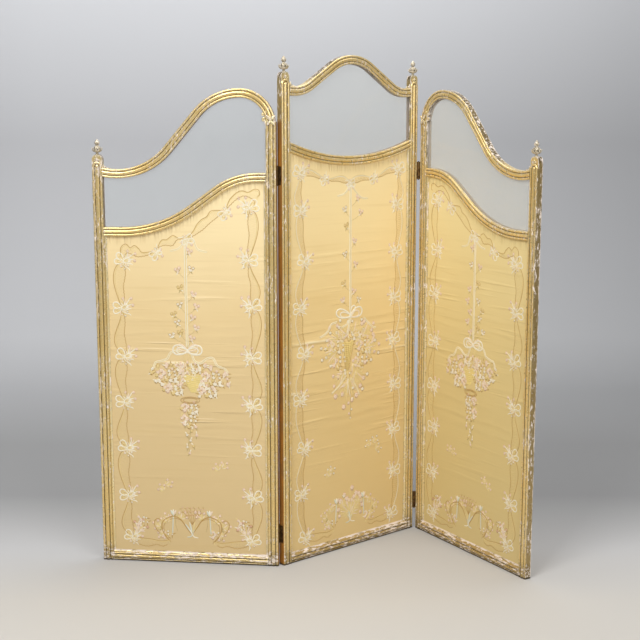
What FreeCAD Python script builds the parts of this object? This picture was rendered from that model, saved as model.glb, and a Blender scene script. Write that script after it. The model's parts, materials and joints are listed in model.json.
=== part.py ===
"""Three-panel giltwood folding screen: glazed upper lights over silk panels, hinged to fold in a zigzag.

Each panel is laid out flat, seen from the front: X runs across it, Z up from the floor and Y from the
front (negative) to the back. The wings are then turned about their hinge pins to the standing angles.
The origin is on the floor, under the middle of the centre panel.
"""
import FreeCAD
import Part
import os
from math import asin, atan2, cos, degrees, radians, sin, sqrt
from FreeCAD import Vector

# Whole screen
panel_width = 638.0
frame_depth = 27.0
left_fold_degrees = 46.3
right_fold_degrees = 98.0
quarter_turn_degrees = 90.0
overrun = 60.0

# Section shared by all frame members, a broad reed between two lower and narrower ones
reed_shares = (0.27, 0.46, 0.27)
reed_height_shares = (0.78, 1.0, 0.78)
reeded_width = 36.0
stile_reed_height = 5.0
rail_width = 31.0
rail_reed_height = 4.4
bottom_rail_width = 38.0
sight_depth = 12.0
rebate_width = 7.0

# Hollow beside the silk, along the inner edge of stiles and bottom rails
hollow_width = 8.0
hollow_lip = 1.5
hollow_sag = 1.2

# Mortise and tenon joints
tenon_length = 12.0
tenon_thickness = 8.0
tenon_width = 13.0
tenon_root = 2.0
joint_clearance = 0.1

# Wing middle rail, a level start and end joined by a gentle rise
wing_middle_low_height = 1187.5
wing_middle_lift = 189.0
wing_middle_level_start = 95.0
wing_middle_level_end = 64.0
wing_middle_bend_share = 0.66
wing_middle_low_share = 0.64

# Wing top rail, from a low point by the outer post up to an arch over the hinge stile
wing_light_height = 199.0
wing_top_low_inset = 85.0
wing_top_lift = 271.5
wing_top_end_radius = 106.0
wing_top_bend_share = 0.535
wing_top_low_share = 0.55

# Hinge stiles of the wings, which end under the shoulder of the arched rail
shoulder_drop = 95.0

# Centre middle rail, one sagging arc
centre_middle_step = 50.5
centre_middle_sag = 58.5

# Centre top rail, a single hump between two low points
centre_light_height = 237.0
centre_top_low_inset = 60.0
centre_top_lift = 111.0
centre_top_bend_share = 0.41
centre_top_low_share = 0.45

# Posts, with a reeded arch under a round head that carries a finial
centre_post_rise = 65.0
wing_post_rise = 66.0
arch_drop = 24.0
head_step = 0.8
finial_seat_drop = 2.5

# Carved scrolls in the corners of the top rails
scroll_radius = 5.0
scroll_depth = 12.0
scroll_lift = 1.5
scroll_gap = 0.2
shoulder_scroll_radius = 8.5
shoulder_scroll_rise = 16.0
shoulder_scroll_reach = 2.0
shoulder_scroll_share = 0.75

# Glass and its beads
glass_thickness = 3.0
glass_play = 1.0
bead_play = 0.2
bead_recess = 1.0

# Silk, strainer frame and back lining
silk_thickness = 0.8
lining_thickness = 0.8
cloth_gap = 0.3
lining_recess = 1.5
strainer_width = 28.0

# Finials
finial_height = 53.5
finial_base_radius = 8.0
finial_collar_radius = 18.5
finial_collar_height = 23.0
finial_collar_edge = 1.6
finial_neck_radius = 4.2
finial_neck_height = 7.0
finial_bud_root_radius = 9.4
finial_waist_share = 0.30
finial_tip_radius = 7.4
finial_tip_share = 0.60
finial_spigot_radius = 4.0
finial_spigot_length = 16.0
finial_spigot_play = 0.1
finial_leaf_count = 8
finial_notch_radius = 5.0

# Butt hinges
hinge_height = 63.5
hinge_lower_bottom = 82.0
hinge_upper_drop = 213.0
hinge_gap = 1.0
leaf_gap = 0.5
leaf_thickness = 2.0
leaf_width = 21.0
leaf_seat_play = 0.1
knuckle_count = 5
knuckle_radius = 3.5
knuckle_play = 0.3
knuckle_root = 4.0
left_pin_offset = 0.5
right_pin_offset = 4.0
pin_radius = 1.9
pin_play = 0.05
pin_tip_radius = 2.7
pin_tip_height = 2.5

# Hinge screws
screw_head_radius = 3.4
screw_shank_radius = 1.7
screw_length = 15.0
screw_play = 0.05
screw_height_shares = (0.14, 0.5, 0.86)
screw_across_shares = (0.35, 0.6, 0.35)

# Heights worked out from the floor up
wing_middle_high_height = wing_middle_low_height + wing_middle_lift
wing_top_low_height = wing_middle_low_height + wing_light_height
wing_top_apex_height = wing_top_low_height + wing_top_lift
wing_post_height = wing_top_low_height + wing_post_rise
shoulder_height = wing_top_apex_height - shoulder_drop
centre_middle_height = wing_middle_high_height + centre_middle_step
centre_top_low_height = centre_middle_height + centre_light_height
centre_top_apex_height = centre_top_low_height + centre_top_lift
centre_post_height = centre_top_low_height + centre_post_rise
tallest = max(centre_top_apex_height, centre_post_height, wing_top_apex_height) + overrun
hinge_upper_bottom = shoulder_height - hinge_upper_drop

# Planes and lines worked out from the sizes above
front = -frame_depth / 2
back = frame_depth / 2
seat = front + sight_depth
stile_width = reeded_width + hollow_width
left_rebate = reeded_width - rebate_width
right_face = panel_width - reeded_width
right_rebate = panel_width - left_rebate
rail_start = reeded_width / 2
rail_end = panel_width - rail_start
bottom_rail_height = bottom_rail_width / 2
rail_rebate_edge = rail_width / 2 - rebate_width
bead_front = seat + glass_thickness
bead_back = back - bead_recess
panel_left = -panel_width / 2
hinge_bottoms = (hinge_lower_bottom, hinge_upper_bottom)


def block(x_low, x_high, y_low, y_high, z_low, z_high):
    """Box between the given planes."""
    corner = Vector(x_low, y_low, z_low)
    return Part.makeBox(x_high - x_low, y_high - y_low, z_high - z_low, corner)


def joined(solids):
    """One solid from touching or crossing solids."""
    return solids[0].multiFuse(solids[1:]).removeSplitter()


def hollow(start, end):
    """Concave edge between two points of a section, sagging into the wood."""
    chord = end - start
    into = Vector(0, chord.z, -chord.y).normalize()
    return Part.Arc(start, (start + end) / 2 + into * hollow_sag, end).toShape()


def section(width, reed_height, rebates, hollows):
    """Face across a frame member: reeds in front, with a hollow or a step behind at its low and high edge."""
    base = front + reed_height
    lip = seat - hollow_lip
    high = width / 2
    low = -high
    low_edge = lip if hollows[0] else base
    high_edge = lip if hollows[1] else base
    edges = []
    place = low + hollows[0]
    if hollows[0]:
        edges.append(hollow(Vector(0, lip, low), Vector(0, base, place)))
    for share, height_share in zip(reed_shares, reed_height_shares):
        after = place + (width - sum(hollows)) * share
        crown = Vector(0, base - reed_height * height_share, (place + after) / 2)
        edges.append(Part.Arc(Vector(0, base, place), crown, Vector(0, base, after)).toShape())
        place = after
    if hollows[1]:
        edges.append(hollow(Vector(0, base, place), Vector(0, lip, high)))
    corners = [(high_edge, high)]
    if rebates[1]:
        corners += [(seat, high), (seat, high - rebates[1])]
    corners += [(back, high - rebates[1]), (back, low + rebates[0])]
    if rebates[0]:
        corners += [(seat, low + rebates[0]), (seat, low)]
    corners.append((low_edge, low))
    points = [Vector(0, depth, across) for depth, across in corners]
    for first, second in zip(points, points[1:]):
        edges.append(Part.makeLine(first, second))
    return Part.Face(Part.Wire(edges))


def bar_section(across_low, across_high, depth_low, depth_high):
    """Plain oblong face across a bead that follows a rail."""
    corners = [
        Vector(0, depth_low, across_low),
        Vector(0, depth_high, across_low),
        Vector(0, depth_high, across_high),
        Vector(0, depth_low, across_high),
    ]
    return Part.Face(Part.makePolygon(corners + corners[:1]))


class Route:
    """Chain of straight runs and tangent arcs in the plane of a panel, such as the middle of a rail."""

    def __init__(self, x, z, heading):
        self.point = Vector(x, 0, z)
        self.heading = heading
        self.legs = []

    def side(self, heading):
        """Direction across the route, on its left."""
        return Vector(-sin(radians(heading)), 0, cos(radians(heading)))

    def run(self, length):
        """Go straight on."""
        step = Vector(cos(radians(self.heading)), 0, sin(radians(self.heading))) * length
        self.legs.append((self.point, self.heading, None, step))
        self.point = self.point + step
        return self

    def bend(self, radius, turn):
        """Follow an arc, to the left for a positive turn."""
        hand = 1 if turn > 0 else -1
        centre = self.point + self.side(self.heading) * radius * hand
        self.legs.append((self.point, self.heading, centre, turn))
        self.heading += turn
        self.point = centre - self.side(self.heading) * radius * hand
        return self

    def sweep(self, face):
        """Solid left by a section that travels along the route."""
        solids = []
        for start, heading, centre, step in self.legs:
            placed = face.copy()
            placed.rotate(Vector(0, 0, 0), Vector(0, -1, 0), heading)
            placed.translate(start)
            if centre is None:
                solids.append(placed.extrude(step))
            else:
                solids.append(placed.revolve(centre, Vector(0, -1, 0), step))
        return joined(solids) if len(solids) > 1 else solids[0]

    def edges(self, shift):
        """Edges of the same route moved sideways, to the left for a positive shift."""
        found = []
        for start, heading, centre, step in self.legs:
            first = start + self.side(heading) * shift
            if centre is None:
                found.append(Part.makeLine(first, first + step))
                continue
            turned = Part.Vertex(first)
            points = [first]
            for _ in range(2):
                turned.rotate(centre, Vector(0, -1, 0), step / 2)
                points.append(turned.Point)
            found.append(Part.Arc(*points).toShape())
        return found

    def height(self, x):
        """Height of the route where it passes a given X."""
        for start, heading, centre, step in self.legs:
            if centre is None:
                if start.x <= x <= start.x + step.x:
                    return start.z + step.z * (x - start.x) / step.x
                continue
            hand = 1 if step > 0 else -1
            end = centre - self.side(heading + step) * (start - centre).Length * hand
            if start.x <= x <= end.x:
                return centre.z - hand * sqrt((start - centre).Length ** 2 - (x - centre.x) ** 2)
        raise ValueError("the route doesn't reach that far")


def rise(width, height, bend_share, low_share):
    """Slope, radii and straight run of an S-shaped rise, hollow first, between two level points."""
    slope = degrees(atan2(height, width)) * (1 + bend_share)
    across, fall = sin(radians(slope)), 1 - cos(radians(slope))
    along, climb = cos(radians(slope)), sin(radians(slope))
    radii = (width * climb - height * along) / (across * climb - fall * along)
    straight = (width - radii * across) / along
    return slope, radii * low_share, straight, radii * (1 - low_share)


def between(low_route, low_shift, high_route, high_shift, y_low, y_high):
    """Plate between two routes, each moved sideways."""
    low_edges = low_route.edges(low_shift)
    high_edges = high_route.edges(high_shift)
    low_ends = low_edges[0].Vertexes[0].Point, low_edges[-1].Vertexes[-1].Point
    high_ends = high_edges[0].Vertexes[0].Point, high_edges[-1].Vertexes[-1].Point
    sides = [Part.makeLine(low, high) for low, high in zip(low_ends, high_ends)]
    outline = Part.Wire(Part.__sortEdges__(low_edges + high_edges + sides))
    plate = Part.Face(outline)
    plate.translate(Vector(0, y_low, 0))
    return plate.extrude(Vector(0, y_high - y_low, 0))


def column(x_low, x_high):
    """Tall block that trims a piece to a range of X."""
    return block(x_low, x_high, front - overrun, back + overrun, -overrun, tallest)


def straight_route(height):
    """Level route from stile to stile."""
    return Route(rail_start, height, 0).run(rail_end - rail_start)


# Routes of the rails

def centre_top_route():
    """Hump with a low point beside either post."""
    span = panel_width / 2 - centre_top_low_inset
    slope, low, straight, high = rise(span, centre_top_lift, centre_top_bend_share, centre_top_low_share)
    lead = degrees(asin((centre_top_low_inset - rail_start) / low))
    start_height = centre_top_low_height + low * (1 - cos(radians(lead)))
    route = Route(rail_start, start_height, -lead).bend(low, lead + slope).run(straight)
    route.bend(high, -2 * slope).run(straight)
    return route.bend(low, slope + lead)


def centre_middle_route():
    """Arc that sags between the posts."""
    half = panel_width / 2 - rail_start
    lead = 2 * degrees(atan2(centre_middle_sag, half))
    radius = half / sin(radians(lead))
    return Route(rail_start, centre_middle_height + centre_middle_sag, -lead).bend(radius, 2 * lead)


def wing_top_route():
    """Rise from the outer post, over an arch and down on to the hinge stile."""
    apex = rail_end - wing_top_end_radius
    span = apex - wing_top_low_inset
    slope, low, straight, high = rise(span, wing_top_lift, wing_top_bend_share, wing_top_low_share)
    lead = degrees(asin((wing_top_low_inset - rail_start) / low))
    start_height = wing_top_low_height + low * (1 - cos(radians(lead)))
    route = Route(rail_start, start_height, -lead).bend(low, lead + slope).run(straight)
    return route.bend(high, -slope).bend(wing_top_end_radius, -quarter_turn_degrees).run(overrun)


def wing_middle_route():
    """Level beside the outer post, then a rise to the hinge stile."""
    span = panel_width - wing_middle_level_start - wing_middle_level_end
    slope, low, straight, high = rise(
        span, wing_middle_lift, wing_middle_bend_share, wing_middle_low_share
    )
    route = Route(rail_start, wing_middle_low_height, 0).run(wing_middle_level_start - rail_start)
    route.bend(low, slope).run(straight).bend(high, -slope)
    return route.run(wing_middle_level_end - (panel_width - rail_end))


# Stiles and posts, laid out with their outer edge at X zero and the rebate on the right

def reeded_stile(top, hollow_top):
    """Stile with reeds up to one height and a hollow beside them up to another."""
    face = section(stile_width, stile_reed_height, (0, 0), (hollow_width, 0))
    lower = Route(stile_width / 2, 0, quarter_turn_degrees).run(hollow_top)
    reeds = section(reeded_width, stile_reed_height, (0, 0), (0, 0))
    upper = Route(reeded_width / 2, hollow_top, quarter_turn_degrees).run(top - hollow_top)
    return joined([lower.sweep(face), upper.sweep(reeds)]).cut(stile_rebate(hollow_top))


def arch_head(springing):
    """Half turn of the reeded section, which carries the outer reeds round as an arch."""
    face = section(reeded_width, stile_reed_height, (0, 0), (0, 0))
    half = face.common(block(-overrun, overrun, -overrun, overrun, 0, reeded_width))
    half.rotate(Vector(0, 0, 0), Vector(0, 1, 0), quarter_turn_degrees)
    half.translate(Vector(reeded_width / 2, 0, springing))
    return half.revolve(Vector(reeded_width / 2, 0, springing), Vector(0, -1, 0), 180)


def post(height, hollow_top):
    """Post with the reeded arch set against a plain round head, flat on top for the finial."""
    radius = reeded_width / 2
    springing = height - radius - arch_drop
    head_front = front + stile_reed_height + head_step
    neck = block(0, reeded_width, head_front, back, springing, height - radius)
    round_centre = Vector(radius, head_front, height - radius)
    round_head = Part.makeCylinder(radius, back - head_front, round_centre, Vector(0, 1, 0))
    solid = joined([reeded_stile(springing, hollow_top), arch_head(springing), neck, round_head])
    crown = block(0, reeded_width, front, back, height - finial_seat_drop, height + overrun)
    hole_depth = finial_spigot_length + joint_clearance
    hole = Part.makeCylinder(
        finial_spigot_radius + finial_spigot_play,
        hole_depth + finial_seat_drop,
        Vector(radius, 0, height - finial_seat_drop - hole_depth),
    )
    return solid.cut(crown).cut(hole)


def hinge_stile(hollow_top):
    """Stile of a wing with a tenon on top that enters the arched rail."""
    return joined([reeded_stile(shoulder_height, hollow_top), shoulder_tenon(0)])


def stile_rebate(level):
    """Step along the back of the inner edge, behind the hollow and, above a level, behind the reeds."""
    silk = block(reeded_width, stile_width + overrun, seat, back + overrun, -overrun, level)
    glass = block(left_rebate, stile_width + overrun, seat, back + overrun, level, tallest)
    return silk.fuse(glass)


def shoulder_tenon(clearance):
    """Tenon that stands up from the hinge stile into the foot of the arched rail."""
    middle = reeded_width / 2
    return block(
        middle - tenon_width / 2 - clearance,
        middle + tenon_width / 2 + clearance,
        seat - clearance,
        seat + tenon_thickness + clearance,
        shoulder_height - tenon_root,
        shoulder_height + tenon_length + clearance,
    )


def rail_tenon(height, clearance):
    """Tenon at the left end of a rail, or its mortise when a clearance is given."""
    middle = (seat + back) / 2
    return block(
        left_rebate - tenon_length - clearance,
        reeded_width + tenon_root,
        middle - tenon_thickness / 2 - clearance,
        middle + tenon_thickness / 2 + clearance,
        height - tenon_width / 2 - clearance,
        height + tenon_width / 2 + clearance,
    )


def flipped(shape):
    """Mirror image across the middle of a panel."""
    return shape.mirror(Vector(panel_width / 2, 0, 0), Vector(1, 0, 0))


def mortised(stile, heights, rails):
    """Stile with a mortise for each rail, and its hollow stopped where the rails cross it."""
    for height in heights:
        stile = stile.cut(rail_tenon(height, joint_clearance))
    for crossing in rails:
        stile = stile.cut(crossing)
    return stile


# Rails

def stile_space(level):
    """Space that the left stile takes at the end of a rail, stepped for the rebate above a level."""
    full = block(-overrun, reeded_width, front - overrun, back + overrun, -overrun, tallest)
    return full.cut(stile_rebate(level))


def rail(route, face, left_level, right_level):
    """Rail along a route, tenoned to the stiles, whose rebates start at the given levels, if they are there."""
    solid = route.sweep(face).cut(stile_space(left_level))
    pieces = [rail_tenon(route.height(reeded_width), 0)]
    if right_level:
        solid = solid.cut(flipped(stile_space(right_level)))
        pieces.append(flipped(rail_tenon(route.height(right_face), 0)))
    return joined([solid] + pieces)


def corner_scroll(route):
    """Carved curl on the upper edge of a top rail, beside the left post."""
    x = reeded_width + scroll_gap + scroll_radius
    z = route.height(x) + rail_width / 2 + scroll_lift
    start = Vector(x, -scroll_depth / 2, z)
    return Part.makeCylinder(scroll_radius, scroll_depth, start, Vector(0, 1, 0))


def shoulder_scrolls():
    """Two curls, one above the other, inside the foot of the arched rail."""
    face = front + rail_reed_height
    depth = seat - scroll_gap - face
    centre = Vector(rail_end - wing_top_end_radius, face, wing_top_apex_height - wing_top_end_radius)
    reach = wing_top_end_radius - rail_width / 2 - shoulder_scroll_reach
    curls = []
    radius = shoulder_scroll_radius
    lift = shoulder_height + radius - centre.z
    for _ in range(2):
        start = centre + Vector(sqrt(reach ** 2 - lift ** 2), 0, lift)
        curls.append(Part.makeCylinder(radius, depth, start, Vector(0, 1, 0)))
        radius = radius * shoulder_scroll_share
        lift = lift + shoulder_scroll_rise
    return curls


def bottom_rail():
    """Straight rail on the floor, with its hollow and its rebate along the upper edge."""
    face = section(bottom_rail_width, stile_reed_height, (0, rebate_width), (0, hollow_width))
    return rail(straight_route(bottom_rail_height), face, wing_middle_low_height, wing_middle_low_height)


# Filling of the two openings

def over_shoulder(play):
    """Space over the hinge stile of a wing, inside the arched rail."""
    return block(right_face, panel_width, front - overrun, back + overrun, shoulder_height + play, tallest)


def light(nodes, name, top, middle, sides, shoulder):
    """Glass pane and the four beads that hold it from behind, the upright ones named after their sides."""
    edge = rail_rebate_edge + glass_play
    pane = between(middle, edge, top, -edge, seat, bead_front)
    inside = column(left_rebate + glass_play, right_rebate - glass_play)
    wide = column(left_rebate + bead_play, right_rebate - bead_play)
    if shoulder:
        inside = inside.fuse(over_shoulder(glass_play))
        wide = wide.fuse(over_shoulder(bead_play))
    nodes[name + "_glass"] = pane.common(inside)
    outer = rail_rebate_edge + bead_play
    rim = rail_width / 2
    upper = top.sweep(bar_section(-rim, -outer, bead_front, bead_back)).common(wide)
    lower = middle.sweep(bar_section(outer, rim, bead_front, bead_back)).common(wide)
    field = between(middle, rim, top, -rim, bead_front, bead_back)
    left = field.common(column(left_rebate + bead_play, reeded_width))
    right = field.common(column(right_face, right_rebate - bead_play))
    if shoulder:
        above = block(right_face - overrun, panel_width, front, back, shoulder_height, tallest)
        below = block(right_face, panel_width, front, back, 0, shoulder_height)
        full = block(right_face, right_rebate - bead_play, bead_front, bead_back, 0, shoulder_height)
        upper = upper.cut(below)
        right = full.common(between(middle, rim, top, 0, bead_front, bead_back)).cut(above)
    nodes[name + "_top_bead"] = upper
    nodes[name + "_sill_bead"] = lower
    nodes[name + "_" + sides[0] + "_bead"] = left
    nodes[name + "_" + sides[1] + "_bead"] = right


def cloth_field(middle, inset, y_low, y_high):
    """Plate that fills the lower opening, out to the rebate less an inset."""
    bottom = straight_route(bottom_rail_height)
    low_shift = bottom_rail_width / 2 - rebate_width + inset
    plate = between(bottom, low_shift, middle, -rail_rebate_edge - inset, y_low, y_high)
    return plate.common(column(reeded_width + inset, right_face - inset))


def lower_filling(nodes, name, middle):
    """Silk in front, the strainer frame that stretches it, and the lining behind."""
    silk_front = seat + cloth_gap
    silk_back = silk_front + silk_thickness
    lining_back = back - lining_recess
    lining_front = lining_back - lining_thickness
    strainer_front = silk_back + cloth_gap
    strainer_back = lining_front - cloth_gap
    ring = cloth_field(middle, cloth_gap, strainer_front, strainer_back)
    opening = cloth_field(middle, strainer_width, strainer_front - overrun, strainer_back + overrun)
    nodes[name + "_silk"] = cloth_field(middle, cloth_gap, silk_front, silk_back)
    nodes[name + "_strainer"] = ring.cut(opening)
    nodes[name + "_lining"] = cloth_field(middle, cloth_gap, lining_front, lining_back)


# Finials

def finial():
    """Turned bud on a leaf collar and a waisted foot, with its spigot below the base."""
    collar_top = finial_collar_height + finial_collar_edge
    above = finial_height - collar_top
    foot = Part.BSplineCurve()
    foot.interpolate([
        Vector(finial_base_radius, 0, 0),
        Vector(finial_neck_radius, 0, finial_neck_height),
        Vector(finial_collar_radius, 0, finial_collar_height),
    ])
    bud = Part.BSplineCurve()
    bud.interpolate([
        Vector(finial_bud_root_radius, 0, collar_top),
        Vector(finial_neck_radius, 0, collar_top + above * finial_waist_share),
        Vector(finial_tip_radius, 0, collar_top + above * finial_tip_share),
        Vector(0, 0, finial_height),
    ])
    bottom = Vector(finial_spigot_radius, 0, -finial_spigot_length)
    root = Vector(finial_spigot_radius, 0, 0)
    rim = Vector(finial_collar_radius, 0, finial_collar_height)
    rim_top = Vector(finial_collar_radius, 0, collar_top)
    bud_root = Vector(finial_bud_root_radius, 0, collar_top)
    tip = Vector(0, 0, finial_height)
    foot_end = Vector(0, 0, -finial_spigot_length)
    edges = [
        Part.makeLine(foot_end, bottom),
        Part.makeLine(bottom, root),
        Part.makeLine(root, Vector(finial_base_radius, 0, 0)),
        foot.toShape(),
        Part.makeLine(rim, rim_top),
        Part.makeLine(rim_top, bud_root),
        bud.toShape(),
        Part.makeLine(tip, foot_end),
    ]
    turned = Part.Face(Part.Wire(edges)).revolve(Vector(0, 0, 0), Vector(0, 0, 1), 360)
    notch_low = finial_neck_height
    for number in range(finial_leaf_count):
        notch = Part.makeCylinder(
            finial_notch_radius,
            collar_top - notch_low,
            Vector(finial_collar_radius + finial_notch_radius / 2, 0, notch_low),
        )
        notch.rotate(Vector(0, 0, 0), Vector(0, 0, 1), (number + 1 / 2) * 360 / finial_leaf_count)
        turned = turned.cut(notch)
    return turned


def seated_finial(post_height, x):
    """Finial on the flat of a post that stands at a given X."""
    shape = finial()
    shape.translate(Vector(x, 0, post_height - finial_seat_drop))
    return shape


# Panels, each in its own flat layout

def centre_panel():
    """Frame between two posts, with a humped top rail and a sagging middle rail."""
    nodes = {}
    top = centre_top_route()
    middle = centre_middle_route()
    level = middle.height(reeded_width)
    scroll = corner_scroll(top)
    top_face = section(rail_width, rail_reed_height, (rebate_width, 0), (0, 0))
    hump = rail(top, top_face, level, level)
    nodes["centre_top_rail"] = joined([hump, scroll, flipped(scroll)])
    middle_face = section(rail_width, rail_reed_height, (rebate_width, rebate_width), (0, 0))
    nodes["centre_middle_rail"] = rail(middle, middle_face, level, level)
    nodes["centre_bottom_rail"] = bottom_rail()
    heights = [bottom_rail_height, level, top.height(reeded_width)]
    side = mortised(post(centre_post_height, level), heights, list(nodes.values()))
    nodes["centre_left_post"] = side
    nodes["centre_right_post"] = flipped(side)
    light(nodes, "centre", top, middle, ("left", "right"), False)
    lower_filling(nodes, "centre", middle)
    for name, x in (("left", reeded_width / 2), ("right", panel_width - reeded_width / 2)):
        nodes["centre_" + name + "_finial"] = seated_finial(centre_post_height, x)
    return nodes


def wing_panel(name):
    """Left wing: low post outside, arched rail down to the hinge stile on the right."""
    nodes = {}
    top = wing_top_route()
    middle = wing_middle_route()
    outer_level = middle.height(reeded_width)
    inner_level = middle.height(right_face)
    top_face = section(rail_width, rail_reed_height, (rebate_width, 0), (0, 0))
    arch = rail(top, top_face, outer_level, None)
    arch = joined([arch, corner_scroll(top)] + shoulder_scrolls())
    below = block(right_face - overrun, panel_width, -overrun, overrun, 0, shoulder_height)
    arch = arch.cut(below).cut(flipped(shoulder_tenon(joint_clearance)))
    nodes[name + "_top_rail"] = arch
    middle_face = section(rail_width, rail_reed_height, (rebate_width, rebate_width), (0, 0))
    nodes[name + "_middle_rail"] = rail(middle, middle_face, outer_level, inner_level)
    nodes[name + "_bottom_rail"] = bottom_rail()
    outer_heights = [bottom_rail_height, outer_level, top.height(reeded_width)]
    inner_heights = [bottom_rail_height, inner_level]
    outer = post(wing_post_height, outer_level)
    inner_rails = [flipped(shape) for shape in nodes.values()]
    nodes[name + "_post"] = mortised(outer, outer_heights, list(nodes.values()))
    nodes[name + "_hinge_stile"] = flipped(mortised(hinge_stile(inner_level), inner_heights, inner_rails))
    light(nodes, name, top, middle, ("outer", "inner"), True)
    lower_filling(nodes, name, middle)
    nodes[name + "_finial"] = seated_finial(wing_post_height, reeded_width / 2)
    return nodes


# Hinges, laid out on a joint whose gap is centred on X zero, with the pin behind the panels

def knuckle_span(number):
    """Lower and upper end of one knuckle, above the bottom of its hinge."""
    pitch = hinge_height / knuckle_count
    return number * pitch + knuckle_play / 2, (number + 1) * pitch - knuckle_play / 2


def barrel_space(bottom, pin_offset):
    """Room for the knuckles and the ends of the pin."""
    reach = pin_tip_height + knuckle_play
    foot = Vector(0, back + pin_offset, bottom - reach)
    return Part.makeCylinder(knuckle_radius + knuckle_play, hinge_height + 2 * reach, foot)


def leaf(bottom, pin_offset, hand, first):
    """Leaf on the right of the gap for a positive hand, with every second knuckle from the first."""
    inside = leaf_gap / 2
    outside = inside + leaf_thickness
    axis_depth = back + pin_offset
    low, high = sorted((hand * inside, hand * outside))
    sheet = block(low, high, back - leaf_width, back, bottom, bottom + hinge_height)
    pieces = [sheet.cut(barrel_space(bottom, pin_offset))]
    for number in range(first, knuckle_count, 2):
        start, end = knuckle_span(number)
        pieces.append(block(low, high, back - knuckle_root, axis_depth, bottom + start, bottom + end))
        foot = Vector(0, axis_depth, bottom + start)
        pieces.append(Part.makeCylinder(knuckle_radius, end - start, foot))
    plate = joined(pieces)
    bore_foot = Vector(0, axis_depth, bottom - overrun)
    bore = Part.makeCylinder(pin_radius + pin_play, hinge_height + 2 * overrun, bore_foot)
    plate = plate.cut(bore)
    for place in screw_places(bottom):
        plate = plate.cut(screw(place, hand, screw_play))
    return plate


def leaf_seat(bottom, hand):
    """Shallow housing for a leaf in the edge of a stile."""
    low, high = sorted((0, hand * (leaf_gap / 2 + leaf_thickness)))
    return block(
        low,
        high,
        back - leaf_width - leaf_seat_play,
        back + overrun,
        bottom - leaf_seat_play,
        bottom + hinge_height + leaf_seat_play,
    )


def hinge_pin(bottom, pin_offset):
    """Pin with a button at either end."""
    axis_depth = back + pin_offset
    low = bottom - knuckle_play / 2
    high = bottom + hinge_height + knuckle_play / 2
    shank = Part.makeCylinder(pin_radius, high - low, Vector(0, axis_depth, low))
    lower_foot = Vector(0, axis_depth, low - pin_tip_height)
    lower_tip = Part.makeCylinder(pin_tip_radius, pin_tip_height, lower_foot)
    upper_tip = Part.makeCylinder(pin_tip_radius, pin_tip_height, Vector(0, axis_depth, high))
    return joined([shank, lower_tip, upper_tip])


def screw_places(bottom):
    """Depth and height of each screw in a leaf."""
    places = []
    for height_share, across_share in zip(screw_height_shares, screw_across_shares):
        places.append((back - leaf_width * across_share, bottom + hinge_height * height_share))
    return places


def screw(place, hand, play):
    """Countersunk screw driven away from the gap, or its hole when a play is given."""
    depth, height = place
    start = Vector(hand * leaf_gap / 2, depth, height)
    along = Vector(hand, 0, 0)
    head = Part.makeCone(screw_head_radius + play, screw_shank_radius + play, leaf_thickness, start, along)
    shank = Part.makeCylinder(screw_shank_radius + play, screw_length + play, start, along)
    return joined([head, shank])


def fitted_hinges(stile, pin_offset, hand):
    """Stile with the housings and screw holes of its leaves, and room for the barrels."""
    for bottom in hinge_bottoms:
        stile = stile.cut(leaf_seat(bottom, hand)).cut(barrel_space(bottom, pin_offset))
        for place in screw_places(bottom):
            stile = stile.cut(screw(place, hand, screw_play))
    return stile


def joint_hardware(nodes, name, pin_offset):
    """Leaves and pins of the two hinges of a joint, with the centre panel on its right."""
    for level, bottom in zip(("lower", "upper"), hinge_bottoms):
        nodes[name + "_" + level + "_centre_leaf"] = leaf(bottom, pin_offset, 1, 0)
        nodes[name + "_" + level + "_wing_leaf"] = leaf(bottom, pin_offset, -1, 1)
        nodes[name + "_" + level + "_pin"] = hinge_pin(bottom, pin_offset)


def joint_screws(hand):
    """All screws on one side of a joint."""
    return [screw(place, hand, 0) for bottom in hinge_bottoms for place in screw_places(bottom)]


# Whole screen, flat, then with the wings turned to their standing angles

def half_turn(shape):
    """Joint turned about the upright through the origin, for a pin in front of the panels."""
    turned = shape.copy()
    turned.rotate(Vector(0, 0, 0), Vector(0, 0, 1), 180)
    return turned


def moved(shape, x):
    """Shape shifted along X."""
    copy = shape.copy()
    copy.translate(Vector(x, 0, 0))
    return copy


def folded(shape, x, y, angle):
    """Shape turned about an upright pin."""
    copy = shape.copy()
    copy.rotate(Vector(x, y, 0), Vector(0, 0, 1), -angle)
    return copy


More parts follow.
